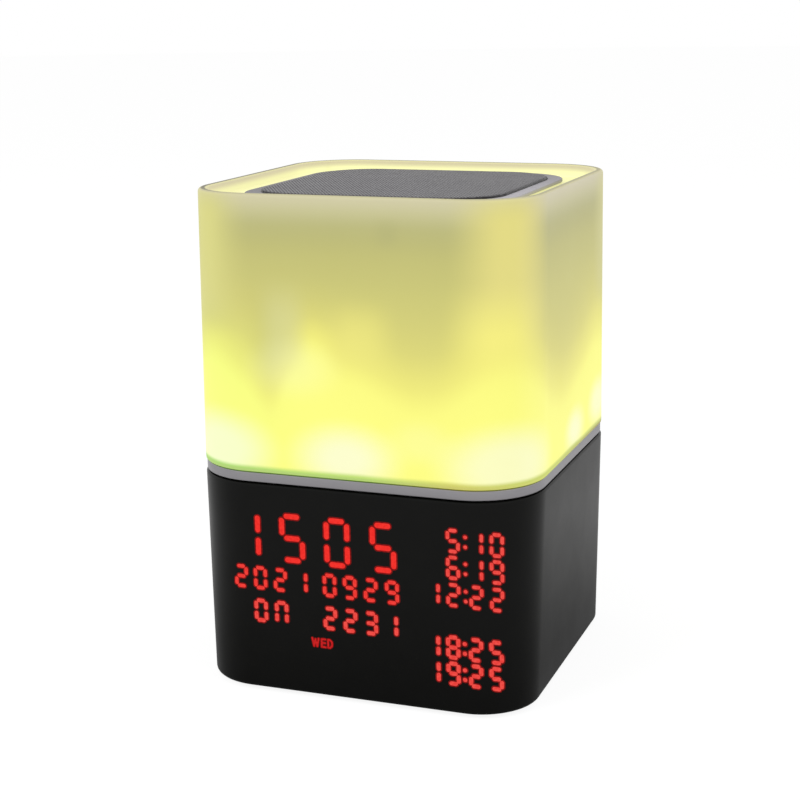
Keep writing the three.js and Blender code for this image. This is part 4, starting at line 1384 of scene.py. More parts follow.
@dataclass
class Display:
    """The lit figures that show through the front wall, and the boards behind it."""

    shape: CasingShape = field(default_factory=CasingShape)
    proud: float = 0.04
    sunk: float = 0.25
    word_widths: Flat = (0.49, 0.9)
    word_z: Flat = (15.85, 18.15)
    end_turns: tuple[float, ...] = (0.0, 0.45, 0.9, 1.25)
    bar_steps: int = 3
    sight_reach: float = 0.12
    sight_rounds: int = 40
    flush: float = 1e-5
    column: tuple[float, ...] = (21.8, 27.6, 34.1, 39.85)
    low_column: tuple[float, ...] = (21.7, 27.42, 33.85, 39.65)

    def groups(self) -> list[tuple[str, LitFinish, list[FigureRow]]]:
        """Lays out the figures.

        Returns:
            The name, the finish and the rows of each piece.
        """
        time = FigureRow("1505", (-34.5, -21.1, -7.8, 5.7), 39.6, 1.5, 2.25, 7.95, 14.6, 1.9)
        date = [
            FigureRow("2021", (-35.17, -29.32, -23.26, -17.05), 30.85, 1.07, 1.74),
            FigureRow("0929", (-8.42, -2.41, 3.73, 9.95), 30.85, 1.07, 1.74),
        ]
        alarm = [
            FigureRow("0n", (-29.5, -23.2), 21.12, 1.16, 1.84),
            FigureRow("2231", (-8.5, -2.5, 3.58, 9.5), 21.12, 1.16, 1.84),
        ]
        side = []
        for figures, low in (("510", 47.45), ("619", 39.88), ("1222", 32.1)):
            lefts = self.column[-len(figures):]
            side.append(FigureRow(figures, lefts, low, 1.03, 1.7, 4.05, colon=33.1))
        for figures, low in (("1825", 17.0), ("1925", 9.38)):
            side.append(FigureRow(figures, self.low_column, low, 1.2, 1.9, 4.0, colon=32.7))
        return [
            ("lit_time", FIGURE_RED, [time]),
            ("lit_date", FIGURE_SOFT, date),
            ("lit_alarm", FIGURE_PALE, alarm),
            ("lit_side_times", FIGURE_PALE, side),
        ]

    def build(self) -> None:
        """Builds the lit figures and dresses the boards."""
        for name, finish, rows in self.groups():
            draft = MeshDraft()
            for row in rows:
                for start, end in row.strokes():
                    self.lit_bar(draft, start, end, row.core, row.glow)
            place_piece(dress(draft.make(name), finish, FIGURE_GLOW_EDGE))
        draft = MeshDraft()
        for start, end in self.weekday():
            self.lit_bar(draft, start, end, *self.word_widths)
        place_piece(dress(draft.make("lit_weekday"), WORD_RED, FIGURE_GLOW_EDGE))
        keep_node("display_board", BOARD_GREEN)
        for node in ("time_digits", "date_digits", "alarm_digits", "weekday_lamps", "side_digits"):
            keep_node(node, DIGIT_BLOCK, 0.3)

    def weekday(self) -> list[tuple[Flat, Flat]]:
        """Lists the strokes of a short weekday name.

        Returns:
            The start and the end of each.
        """
        low, high = self.word_z
        found = []
        shapes = (
            (-12.1, ((0, 1), (0.48, 0), (0.95, 0.9), (1.42, 0), (1.9, 1))),
            (-9.3, ((1.15, 1), (0, 1), (0, 0), (1.15, 0))),
            (-9.3, ((0, 0.52), (1.0, 0.52))),
            (-7.35, ((0, 0), (0, 1), (0.6, 1), (1.1, 0.78), (1.2, 0.5), (1.1, 0.22), (0.6, 0), (0, 0))),
        )
        for left, points in shapes:
            for first, second in zip(points, points[1:]):
                start = (left + first[0], low + (high - low) * first[1])
                end = (left + second[0], low + (high - low) * second[1])
                found.append((start, end))
        return found

    def on_surface(self, x: float, z: float) -> tuple[Vector, Vector]:
        """Finds where a point of the flat layout shows on the casing.

        The layout lies in the plane of the front face. Past the flat part it is carried on
        in a straight line from the eye until it meets the round corner.

        Args:
            x: Across the layout.
            z: Up the layout.

        Returns:
            The place on the casing and the direction out of it.
        """
        plane = Vector((x, -self.shape.outline(z).half, z))
        way = plane - Vector(EYE)
        near, far = 0.0, self.sight_reach
        if self.outside(plane) > self.flush:
            for _ in range(self.sight_rounds):
                middle = (near + far) / 2
                near, far = (middle, far) if self.outside(plane + way * middle) > 0 else (near, middle)
        spot = plane + way * near
        outline = self.shape.outline(spot.z)
        side = outline.half - outline.radius
        out = Vector((math.copysign(max(abs(spot.x) - side, 0), spot.x), min(spot.y + side, 0), 0))
        return spot, out.normalized()

    def outside(self, point: Vector) -> float:
        """Returns how far a point lies outside the casing, negative inside."""
        return self.shape.outline(point.z).distance(point.x, point.y)

    def lit_bar(self, draft: MeshDraft, start: Flat, end: Flat, core: float, glow: float) -> None:
        """Adds a bright bar as wide as the core on a dim bar of painted glow as wide as the glow."""
        self.inlay(draft, start, end, glow, self.proud / 2, 1)
        self.inlay(draft, start, end, core, self.proud, 0)

    def inlay(
        self, draft: MeshDraft, start: Flat, end: Flat, width: float, proud: float, paint: int
    ) -> None:
        """Adds a thin bar with round ends that follows the casing's face.

        Args:
            draft: Where it goes.
            start: The middle of its first round end, as x and z.
            end: The middle of its other round end.
            width: Its width.
            proud: How far it stands out of the face.
            paint: The material slot of its face.
        """
        length = math.hypot(end[0] - start[0], end[1] - start[1])
        ahead = ((end[0] - start[0]) / length, (end[1] - start[1]) / length) if length else (1.0, 0.0)
        half = width / 2
        ends = [(-half * math.cos(turn), half * math.sin(turn)) for turn in self.end_turns]
        steps = self.bar_steps
        middles = [(length * index / steps, half) for index in range(steps + 1)]
        stations = ends + middles + [(length - along, wide) for along, wide in reversed(ends)]
        rows = []
        for along, wide in stations:
            row = []
            for side in (-1.0, 0.0, 1.0):
                x = start[0] + ahead[0] * along - ahead[1] * wide * side
                z = start[1] + ahead[1] * along + ahead[0] * wide * side
                row.append(self.on_surface(x, z))
            rows.append(row)
        tops = [draft.loop([tuple(spot + out * proud) for spot, out in row]) for row in rows]
        floors = [draft.loop([tuple(spot - out * self.sunk) for spot, out in row]) for row in rows]
        for line, (first, second) in enumerate(zip(tops, tops[1:])):
            low, next_low = floors[line], floors[line + 1]
            for left, right in ((0, 1), (1, 2)):
                draft.face((first[left], first[right], second[right], second[left]), paint)
                draft.face((low[left], next_low[left], next_low[right], low[right]), 1)
            draft.face((first[0], second[0], next_low[0], low[0]), 1)
            draft.face((first[2], low[2], next_low[2], second[2]), 1)


@dataclass
class TrimRing:
    """The silver ring between the base and the shade."""

    low: float = 62.2
    high: float = 65.0
    half: float = 49.7
    radius: float = 19.3
    bore_inset: float = 2.5
    edge: float = 0.35

    def build(self) -> None:
        """Builds the ring."""
        draft = MeshDraft()
        outline = SquareOutline(self.half, self.radius)
        marks = lower_edge(self.low, self.edge, 3) + upper_edge(self.high, self.edge, 3)
        marks += [(self.bore_inset, self.high), (self.bore_inset, self.low)]
        draft.stack([draft.ring(outline.inset(inset).points(), z) for inset, z in marks], closed=True)
        ring = dress(draft.make("silver_ring"), RING_SILVER)
        place_piece(ring, "trim_ring")


@dataclass
class GlowShade:
    """The milky shade with its recessed deck."""

    low: float = 65.2
    high: float = 141.8
    low_half: float = 50.0
    high_half: float = 49.5
    corner_share: float = 0.392
    wall: float = 2.5
    deck_top: float = 138.4
    deck_low: float = 135.8
    bore: float = 35.3
    foot_round: float = 0.35
    rim_round: float = 0.95
    inner_round: float = 0.6
    levels: range = range(66, 139, 6)
    deck_round: Flat = (0.5, 0.15)
    deck_rings: Flat = (4.0, 7.5)
    foot_edge: float = 0.2
    crease: float = 40

    def outline(self, z: float) -> SquareOutline:
        """Finds the outer outline at a height.

        Args:
            z: The height in millimetres.

        Returns:
            The outline.
        """
        climb = (self.high_half - self.low_half) * (z - self.low) / (self.high - self.low)
        half = self.low_half + climb
        return SquareOutline(half, half * self.corner_share)

    def outer_marks(self) -> list[Flat]:
        """Lays out the outer face from the foot up to the rim.

        Returns:
            Pairs of an inset and a height.
        """
        marks = lower_edge(self.low, self.foot_round, 3)
        marks += [(0.0, z) for z in self.levels]
        marks += upper_edge(self.high, self.rim_round, 6)
        return [*marks, (self.wall - self.inner_round, self.high)]

    def inner_marks(self) -> list[Flat]:
        """Lays out the rim's inner wall and the deck.

        Returns:
            Pairs of an inset and a height.
        """
        wall, deck = self.wall, self.deck_top
        edge = reversed(upper_edge(self.high, self.inner_round, 4))
        marks = [(wall - inset, z) for inset, z in edge]
        full, half = self.deck_round
        marks += [(wall, deck + full), (wall + half, deck + half), (wall + full, deck)]
        return marks + [(wall + inset, deck) for inset in self.deck_rings]

    def rings(self, draft: MeshDraft, marks: list[Flat]) -> list[list[int]]:
        """Returns the numbers of the corners of a ring at each inset and height."""
        return [draft.ring(self.outline(z).inset(inset).points(), z) for inset, z in marks]

    def build(self) -> None:
        """Builds the shade."""
        draft = MeshDraft()
        loops = self.rings(draft, self.outer_marks())
        draft.stack(loops)
        decks = self.rings(draft, self.inner_marks())
        like = self.outline(self.high).points()
        for z in (self.deck_top, self.deck_low):
            decks.append(draft.ring(round_outline(like, self.bore), z))
        draft.skin(loops[-1], decks[0])
        draft.stack(decks, paint=1)
        edge = self.foot_edge
        under = [(self.wall, self.deck_low), (self.wall, self.low + edge), (self.wall - edge, self.low)]
        unders = self.rings(draft, under)
        draft.skin(decks[-1], unders[0], 1)
        draft.stack(unders)
        draft.skin(unders[-1], loops[0])
        shade = dress(draft.make("glow_shade", self.crease), SHADE_GLOW, DECK_GLOW)
        place_piece(shade, "diffuser")


@dataclass
class SpeakerTop:
    """The bezel on the deck and the perforated grille."""

    bezel_low: float = 138.7
    bezel_high: float = 139.75
    bezel_half: float = 39.1
    bezel_radius: float = 16.0
    bezel_edge: float = 0.4
    bezel_foot: float = 0.15
    collar_outer: float = 35.0
    collar_inner: float = 33.2
    collar_low: float = 134.6
    collar_edge: float = 0.3
    grille_low: float = 139.75
    grille_high: float = 140.45
    grille_half: float = 35.6
    grille_radius: float = 16.0
    grille_edge: float = 1.4
    edge_left: float = 0.15
    sheet: float = 0.4
    hole: float = 0.28
    hole_corners: int = 6
    hole_margin: float = 0.28
    pitch: float = 1.0
    bend_rings: tuple[float, ...] = (0.12, 0.32, 0.62, 1.0)
    edge_steps: tuple[int, int] = (16, 60)
    crease: float = 40

    def build(self) -> None:
        """Builds the bezel and the grille."""
        self.bezel()
        self.grille()

    def bezel(self) -> None:
        """Builds the bezel with its collar."""
        draft = MeshDraft()
        outline = SquareOutline(self.bezel_half, self.bezel_radius)
        like = outline.points()
        marks = [(self.bezel_foot, self.bezel_low), (0.0, self.bezel_low + self.bezel_foot)]
        marks += upper_edge(self.bezel_high, self.bezel_edge, 4)
        loops = [draft.ring(outline.inset(inset).points(), z) for inset, z in marks]
        for radius, z in (
            (self.collar_inner + self.collar_edge, self.bezel_high),
            (self.collar_inner, self.bezel_high - self.collar_edge),
            (self.collar_inner, self.collar_low),
            (self.collar_outer, self.collar_low),
            (self.collar_outer, self.bezel_low),
        ):
            loops.append(draft.ring(round_outline(like, radius), z))
        draft.stack(loops, closed=True)
        place_piece(dress(draft.make("speaker_bezel"), BEZEL_GREY), "grille_bezel")

    def drop(self, inside: float) -> float:
        """Finds how far the sheet has bent down.

        Args:
            inside: The distance inside the sheet's edge.

        Returns:
            The drop in millimetres.
        """
        share = max(0.0, 1 - inside / self.grille_edge)
        full = self.grille_high - self.grille_low - self.edge_left
        return full * (1 - math.sqrt(max(0.0, 1 - share * share)))

    def hole_places(self, outline: SquareOutline) -> list[Flat]:
        """Lays out the holes in staggered rows.

        Args:
            outline: The grille's outline.

        Returns:
            The middles of the holes that lie well inside it.
        """
        found = []
        row_step = self.pitch * math.sqrt(3) / 2
        rows = int(self.grille_half / row_step)
        columns = int(self.grille_half / self.pitch) + 1
        for row in range(-rows, rows + 1):
            for column in range(-columns, columns + 1):
                x = (column + (0.5 if row % 2 else 0.0)) * self.pitch
                if outline.distance(x, row * row_step) < -(self.hole + self.hole_margin):
                    found.append((x, row * row_step))
        return found

    def grille(self) -> None:
        """Builds the sheet with its real holes and bent edge."""
        outline = SquareOutline(self.grille_half, self.grille_radius)
        points = [Vector(point) for point in outline.points(*self.edge_steps)]
        count = len(points)
        lines = [(index, (index + 1) % count) for index in range(count)]
        holes = []
        for x, y in self.hole_places(outline):
            holes.append(list(range(len(points), len(points) + self.hole_corners)))
            ring = circle(self.hole, self.hole_corners)
            points.extend(Vector((x + along, y + across)) for along, across in ring)
        for inset in self.bend_rings:
            points.extend(Vector(point) for point in outline.inset(inset).points(*self.edge_steps))
        corners, _, faces, _, _, sources = delaunay_2d_cdt(points, lines, holes, 1, 1e-6)
        draft = MeshDraft()
        for x, y in corners:
            inside = max(0.0, -outline.distance(x, y))
            draft.corners.append((x, y, self.grille_high - self.drop(inside)))
        for face, source in zip(faces, sources):
            if not source:
                draft.face(tuple(face))
        piece = draft.make("speaker_mesh", self.crease)
        thick = piece.modifiers.new("sheet", "SOLIDIFY")
        thick.thickness = self.sheet * MILLIMETRE
        thick.offset = -1
        thick.use_even_offset = False
        apply_modifiers(piece)
        piece.data.set_sharp_from_angle(angle=math.radians(self.crease))
        for corner in piece.data.vertices:
            corner.co.z = max(corner.co.z, self.grille_low * MILLIMETRE)
        LOG.info("grille of %d holes", len(holes))
        place_piece(dress(piece, GRILLE_METAL), "speaker_grille")


@dataclass
class SpeakerDriver:
    """The housing and the driver under the grille."""

    finishes: tuple[tuple[str, Finish], ...] = (
        ("speaker_housing", HOUSING_WHITE),
        ("driver_basket", PLATED_STEEL),
        ("driver_top_plate", PLATED_STEEL),
        ("driver_magnet", FERRITE),
        ("driver_yoke", PLATED_STEEL),
        ("speaker_cone", CONE_PAPER),
        ("dust_cap", DUST_CAP),
        ("voice_coil", COIL_COPPER),
        *(("deck_screw_" + corner, SCREW_STEEL) for corner in CORNERS),
    )
    flange: tuple[Flat, Flat] = ((25.0, 132.5), (26.2, 133.24))
    roll_middle: Flat = (28.4, 133.55)
    roll_radius: float = 2.1
    roll_steps: int = 14
    sheet: float = 0.5
    land: Flat = (32.9, 133.5)
    land_gap: float = 0.1
    surround_bend: Flat = (30.3, 26.6)
    spider_span: Flat = (9.2, 18.9)
    spider_low: float = 118.2
    spider_sheet: float = 0.35
    spider_steps: int = 44
    spider_bend: Flat = (13.4, 9.6)
    wave: float = 0.5
    wave_top: float = 11.23
    wave_length: float = 3.067
    wave_start: float = 0.5
    wave_end: float = 1.2
    turn_steps: int = 120
    crease: float = 50

    def build(self) -> None:
        """Dresses the housing and the driver, and builds its two soft rings."""
        for node, finish in self.finishes:
            keep_node(node, finish)
        surround = dress(self.ring("rubber_surround", self.surround_profile()), SURROUND_RUBBER)
        self.bend(surround, "cone_surround")
        spider = dress(self.ring("cloth_spider", self.spider_profile()), SPIDER_CLOTH)
        self.bend(spider, "cone_spider")

    def ring(self, name: str, profile: list[Flat]) -> Piece:
        """Turns a closed profile about the driver's axis.

        Args:
            name: The piece's name.
            profile: (radius, z) pairs round the section.

        Returns:
            The ring.
        """
        draft = MeshDraft()
        loops = [draft.ring(circle(radius, self.turn_steps), z) for radius, z in profile]
        draft.stack(loops, closed=True)
        return draft.make(name, self.crease)

    def surround_profile(self) -> list[Flat]:
        """Lays out the half roll with its flange on the cone and its land on the basket.

        Returns:
            (radius, z) pairs, along the underside and back over the top.
        """
        middle, base = self.roll_middle
        inner, outer = self.roll_radius - self.sheet, self.roll_radius
        turns = [math.pi * (1 - index / self.roll_steps) for index in range(self.roll_steps + 1)]
        under = [(middle + inner * math.cos(turn), base + inner * math.sin(turn)) for turn in turns]
        top = self.land[1] + self.sheet
        start = math.asin((top - base) / outer)
        rest = (math.pi - 2 * start) / self.roll_steps
        arcs = [start + rest * index for index in range(self.roll_steps + 1)]
        over = [(middle + outer * math.cos(turn), base + outer * math.sin(turn)) for turn in arcs]
        lands = [(middle + inner + self.land_gap, self.land[1]), self.land, (self.land[0], top)]
        back = [(radius, z + self.sheet) for radius, z in reversed(self.flange)]
        return [*self.flange, *under, *lands, *over, *back]

    def spider_profile(self) -> list[Flat]:
        """Lays out the corrugated cloth between coil and basket.

        Returns:
            (radius, z) pairs, along the underside and back over the top.
        """
        start, end = self.spider_span
        under = []
        for index in range(self.spider_steps + 1):
            radius = start + (end - start) * index / self.spider_steps
            near_end = min(radius - start - self.wave_start, end - radius)
            fade = max(0.0, min(1.0, near_end / self.wave_end))
            turn = 2 * math.pi * (radius - self.wave_top) / self.wave_length
            under.append((radius, self.spider_low + self.wave * fade * math.cos(turn)))
        return [*under, *((radius, z + self.spider_sheet) for radius, z in reversed(under))]

    def bend(self, piece: Piece, node: str) -> None:
        """Hides the node that a ring replaces between the basket and the cone.

        The corners lie on a line by their distance from the axis as the transform is baked, then go
        back.

        Args:
            piece: The ring.
            node: The node that it replaces.
        """
        corners = piece.data.vertices
        places = [corner.co.copy() for corner in corners]
        for corner, place in zip(corners, places):
            corner.co = (math.hypot(place.x, place.y), 0.0, 0.0)
        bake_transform(piece)
        for corner, place in zip(corners, places):
            corner.co = place
        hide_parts(node)
        LOG.info("piece %s between root and cone, %d faces", piece.name, len(piece.data.polygons))


@dataclass
class LampBoard:
    """The board under the shade and its eight lamps."""

    places: tuple[str, ...] = (
        "front_left", "front", "front_right", "right", "back_right", "back", "back_left", "left",
    )

    def build(self) -> None:
        """Dresses the board and the lamps."""
        keep_node("led_board", BOARD_WHITE)
        for place in self.places:
            keep_node("led_" + place, LAMP_WARM, 0.15)


@dataclass
class Electronics:
    """The main board, the wireless module and the cell."""

    def build(self) -> None:
        """Dresses the boards and the cell."""
        keep_node("main_board", BOARD_GREEN, 0.1)
        keep_node("wireless_module", MODULE_BLACK, 0.1)
        keep_node("battery_cell", CELL_WRAP, 0.4)


class Mark(Enum):
    """The plain signs on the buttons, by the button's node."""

    LIGHT = "light_button"
    LESS = "volume_down_button"
    PLAY = "play_button"
    MORE = "volume_up_button"
    MODE = "mode_button"


@dataclass(frozen=True)
class SignSheet:
    """The sizes of the signs, as x to the right and z up when seen from behind."""

    dash: Flat = (1.15, 0.2)
    arrow: tuple[Flat, ...] = ((-1.25, -0.85), (0.1, 0.0), (-1.25, 0.85))
    pause: tuple[Flat, ...] = ((0.35, 0.65), (0.95, 1.25))
    pause_half: float = 0.85
    menu: Flat = (1.1, 0.17)
    menu_levels: tuple[float, ...] = (-0.75, 0.0, 0.75)
    sun: float = 0.6
    ray: tuple[Flat, Flat] = ((0.88, -0.12), (1.4, 0.12))
    rays: int = 8

    def outlines(self, mark: Mark) -> list[list[Flat]]:
        """Draws a sign.

        Args:
            mark: Which sign.

        Returns:
            The outlines of its parts.
        """
        far, half = self.dash
        level = block((-far, -half), (far, half))
        if mark is Mark.LESS:
            return [level]
        if mark is Mark.MORE:
            return [level, block((-half, half), (half, far)), block((-half, -far), (half, -half))]
        if mark is Mark.PLAY:
            tall = self.pause_half
            bars = [block((left, -tall), (right, tall)) for left, right in self.pause]
            return [list(self.arrow), *bars]
        if mark is Mark.MODE:
            wide, half = self.menu
            return [block((-wide, z - half), (wide, z + half)) for z in self.menu_levels]
        rays = []
        for index in range(self.rays):
            turn = index * 2 * math.pi / self.rays
            cosine, sine = math.cos(turn), math.sin(turn)
            ray = block(*self.ray)
            rays.append([(cosine * x - sine * z, sine * x + cosine * z) for x, z in ray])
        return [circle(self.sun, 24), *rays]


def block(low: Flat, high: Flat) -> list[Flat]:
    """Returns a rectangle's corners from its lowest and highest ones."""
    return [low, (high[0], low[1]), high, (low[0], high[1])]


def rounded(wide: float, tall: float, radius: float, steps: int = 8) -> list[Flat]:
    """Draws a rectangle with round corners.

    Args:
        wide: Half its width.
        tall: Half its height.
        radius: The radius of its corners.
        steps: How many steps a corner has.

    Returns:
        The points, anticlockwise.
    """
    found = []
    for quarter, (side_x, side_z) in enumerate(((1, 1), (-1, 1), (-1, -1), (1, -1))):
        for index in range(steps + 1):
            angle = (quarter + index / steps) * math.pi / 2
            x = side_x * (wide - radius) + radius * math.cos(angle)
            found.append((x, side_z * (tall - radius) + radius * math.sin(angle)))
    return found


@dataclass
class BackSolid:
    """A mesh in a node's place, built from outlines on planes parallel to the back wall."""

    node: str
    travel: float = 0.0
    draft: MeshDraft = field(default_factory=MeshDraft)

    def __post_init__(self) -> None:
        """Measures the node, or the slot in which it slides along x."""
        low, high = span(self.node)
        self.back, self.mouth = low[1], high[1]
        self.middle = ((low[0] + high[0] + self.travel) / 2, (low[2] + high[2]) / 2)
        self.half = ((high[0] - low[0] + self.travel) / 2, (high[2] - low[2]) / 2)

    def level(self, outline: list[Flat], y: float) -> list[int]:
        """Adds an outline about the middle at a depth and returns its corners' numbers."""
        return self.draft.loop([(self.middle[0] + x, y, self.middle[1] + z) for x, z in outline])

    def prism(self, outline: list[Flat], near: float, far: float, paint: int = 0) -> None:
        """Adds a solid of one outline between two depths, in that material slot."""
        self.chain([(outline, near), (outline, far)], paint)

    def chain(self, steps: list[tuple[list[Flat], float]], paint: int = 0) -> None:
        """Adds a solid whose surface runs through outlines from one closed end to the other.

        Args:
            steps: Pairs of an outline and its depth; all have as many points.
            paint: The material slot.
        """
        loops = [self.level(outline, y) for outline, y in steps]
        self.draft.stack(loops, paint=paint)
        self.draft.face(loops[0], paint)
        self.draft.face(loops[-1], paint)


@dataclass(frozen=True)
class SocketPlan:
    """What a steel shell socket holds."""

    node: str
    radius: float
    tongue: Flat
    contacts: tuple[float, ...]
    contact: float
    top_gap: float | None = None


@dataclass
class BackPanel:
    """The buttons, sockets and power switch on the back."""

    signs: SignSheet = SignSheet()
    sign_y: Flat = (-0.1, 0.05)
    cap_radius: float = 3.2
    cap_edge: float = 0.35
    cap_rim: float = 0.2
    flange_radius: float = 4.2
    flange: Flat = (46.24, 47.24)
    stem_radius: float = 1.6
    dish: float = 0.12
    dish_steps: tuple[Flat, ...] = ((0.0, 0.0), (0.12, 0.7), (0.4, 1.0))
    cap_steps: int = 40
    lip: float = 0.4
    least_round: float = 0.1
    sockets: tuple[SocketPlan, ...] = (
        SocketPlan("usb_socket", 0.5, (11.0, 1.8), (-3.5, -1.1, 1.1, 3.5), 1.1, 0.5),
        SocketPlan("power_socket", 1.3, (3.8, 0.6), (-1.24, -0.62, 0.0, 0.62, 1.24), 0.3),
    )
    flare: float = 0.15
    flare_depth: float = 0.2
    mouth_depth: float = 0.25
    tongue_round: float = 0.25
    tongue_depth: float = 0.7
    contact_depth: float = 1.1
    contact_z: Flat = (-0.06, 0.1)
    card_slot: Point = (5.7, 0.5, 0.15)
    card_funnel: Point = (5.95, 0.72, 0.2)
    card_round: float = 0.3
    card_depths: Flat = (0.15, 0.5)
    card_contact_y: Flat = (1.0, 2.0)
    card_contacts: int = 8
    card_pitch: float = 1.1
    card_contact: tuple[Flat, Flat] = ((-0.3, -0.56), (0.3, -0.38))
    jack_square: float = 3.2
    jack_barrel: float = 3.4
    jack_bore: float = 1.8
    jack_neck: float = 45.7
    jack_rim: Flat = (0.55, 0.35)
    jack_edge: float = 0.3
    jack_seat: float = 0.25
    jack_steps: int = 48
    jack_steel: tuple[int, int] = (5, 6)
    slim: float = 0.12
    knob_round: float = 0.2
    knob_drops: Flat = (0.45, 0.35)
    ribs: int = 4
    rib_pitch: float = 0.6
    rib_foot: Point = (0.19, 0.15, 0.08)
    rib_crest: Point = (0.1, 0.25, 0.05)
    rib_drops: Flat = (0.5, 0.12)

    def build(self) -> None:
        """Builds everything on the back."""
        for mark in Mark:
            self.button(mark)
        for plan in self.sockets:
            self.shell_socket(plan)
        self.card_socket()
        self.jack()
        self.switch()

    def button(self, mark: Mark) -> None:
        """Builds a button with its flange, stem, dished cap and sign.

        Args:
            mark: Its sign.
        """
        solid = BackSolid(mark.value)
        top, floor = solid.mouth, solid.mouth - self.dish
        profile = [(self.stem_radius, solid.back), (self.stem_radius, self.flange[0])]
        profile += [(self.flange_radius, y) for y in self.flange]
        profile.append((self.cap_radius, self.flange[1]))
        profile += [(self.cap_radius - inset, y) for inset, y in upper_edge(top, self.cap_edge, 4)]
        rim = self.cap_radius - self.cap_edge - self.cap_rim
        profile += [(rim - inset, top - self.dish * share) for inset, share in self.dish_steps]
        solid.chain([(circle(radius, self.cap_steps), y) for radius, y in profile])
        for outline in self.signs.outlines(mark):
            solid.prism([(-x, z) for x, z in outline], *(floor + y for y in self.sign_y), 1)
        cap = solid.draft.make(mark.value.replace("button", "cap"))
        body = mark.value.replace("button", "key")
        place_piece(dress(cap, BUTTON_BLACK, MARK_WHITE), mark.value, body)

    def shell_socket(self, plan: SocketPlan) -> None:
        """Builds a steel shell with a tongue and its contacts.

        Args:
            plan: The socket.
        """
        solid = BackSolid(plan.node)
        mouth = solid.mouth
        wide, tall = solid.half
        outer = rounded(wide, tall, plan.radius)
        inner = rounded(wide - self.lip, tall - self.lip, max(plan.radius - self.lip, self.least_round))
        flare = rounded(wide - self.flare, tall - self.flare, plan.radius)
        back = solid.back + self.lip * 2
        steps = [(outer, solid.back), (outer, mouth - self.flare_depth), (flare, mouth)]
        solid.chain([*steps, (inner, mouth - self.mouth_depth), (inner, back)])
        half_wide, half_tall = (side / 2 for side in plan.tongue)
        drop = 0.0 if plan.top_gap is None else tall - self.lip - half_tall - plan.top_gap
        slab = rounded(half_wide, half_tall, min(self.tongue_round, half_tall * 0.6), 3)
        solid.prism([(x, z + drop) for x, z in slab], back - 0.1, mouth - self.tongue_depth, 1)
        bottom, top = (drop - half_tall + z for z in self.contact_z)
        for x in plan.contacts:
            contact = block((x - plan.contact / 2, bottom), (x + plan.contact / 2, top))
            solid.prism(contact, back, mouth - self.contact_depth, 2)
        port = solid.draft.make(plan.node.replace("socket", "port"))
        place_piece(dress(port, SOCKET_STEEL, SOCKET_BLACK, CONTACT_GOLD), plan.node)

    def card_socket(self) -> None:
        """Builds the card slot with its row of contacts."""
        solid = BackSolid("card_socket")
        mouth, back = solid.mouth, solid.back
        wide, tall = solid.half
        outer = rounded(wide, tall, self.card_round, 3)
        face = rounded(wide - self.slim, tall - self.slim, self.card_round, 3)
        funnel, slot = rounded(*self.card_funnel, 3), rounded(*self.card_slot, 3)
        edge, neck = (mouth - depth for depth in self.card_depths)
        steps = [(outer, back), (outer, edge), (face, mouth), (funnel, mouth), (slot, neck)]
        solid.chain([*steps, (slot, back + self.lip)])
        (left, bottom), (right, top) = self.card_contact
        near, far = back + self.card_contact_y[0], mouth - self.card_contact_y[1]
        for index in range(self.card_contacts):
            x = (index - (self.card_contacts - 1) / 2) * self.card_pitch
            solid.prism(block((x + left, bottom), (x + right, top)), near, far, 1)
        piece = dress(solid.draft.make("card_port"), SOCKET_STEEL, CONTACT_GOLD)
        place_piece(piece, "card_socket")

    def jack(self) -> None:
        """Builds the audio jack's body, barrel and bore."""
        solid = BackSolid("audio_jack")
        mouth, seat, edge = solid.mouth, solid.mouth - self.jack_seat, self.jack_edge
        side, barrel, bore = self.jack_square, self.jack_barrel, self.jack_bore
        square = []
        for x, z in circle(1.0, self.jack_steps):
            far = max(abs(x), abs(z))
            square.append((side * x / far, side * z / far))
        loops = [solid.level(square, solid.back), solid.level(square, self.jack_neck)]
        outer_rim, inner_rim = (bore + rim for rim in self.jack_rim)
        for radius, y in (
            (barrel, self.jack_neck),
            (barrel, mouth - edge),
            (barrel - edge, mouth),
            (outer_rim, mouth),
            (inner_rim, seat),
            (bore, seat),
            (bore, solid.back + self.lip),
        ):
            loops.append(solid.level(circle(radius, self.jack_steps), y))
        for index, (first, second) in enumerate(zip(loops, loops[1:])):
            solid.draft.skin(first, second, 1 if index in self.jack_steel else 0)
        solid.draft.face(loops[0])
        solid.draft.face(loops[-1])
        piece = dress(solid.draft.make("audio_port"), SOCKET_BLACK, SOCKET_STEEL)
        place_piece(piece, "audio_jack")

    def switch(self) -> None:
        """Dresses the switch's body and builds its ribbed knob."""
        keep_node("switch_body", SOCKET_STEEL, 0.1)
        solid = BackSolid("switch_knob")
        top = solid.mouth
        wide, tall = solid.half
        foot = rounded(wide, tall, self.knob_round, 3)
        face = rounded(wide - self.slim, tall - self.slim, self.knob_round, 3)
        neck, level = (top - drop for drop in self.knob_drops)
        solid.chain([(foot, solid.back), (foot, neck), (face, level)])
        sizes = (self.rib_foot, self.rib_crest)
        ridges = [rounded(half, tall - short, radius, 2) for half, short, radius in sizes]
        low, high = (top - drop for drop in self.rib_drops)
        for index in range(self.ribs):
            x = (index - (self.ribs - 1) / 2) * self.rib_pitch
            wide_ridge, slim_ridge = ([(x + along, z) for along, z in ridge] for ridge in ridges)
            solid.chain([(wide_ridge, low), (wide_ridge, high), (slim_ridge, top)])
        piece = dress(solid.draft.make("slide_knob"), KNOB_BLACK)
        place_piece(piece, "switch_knob", "knob")


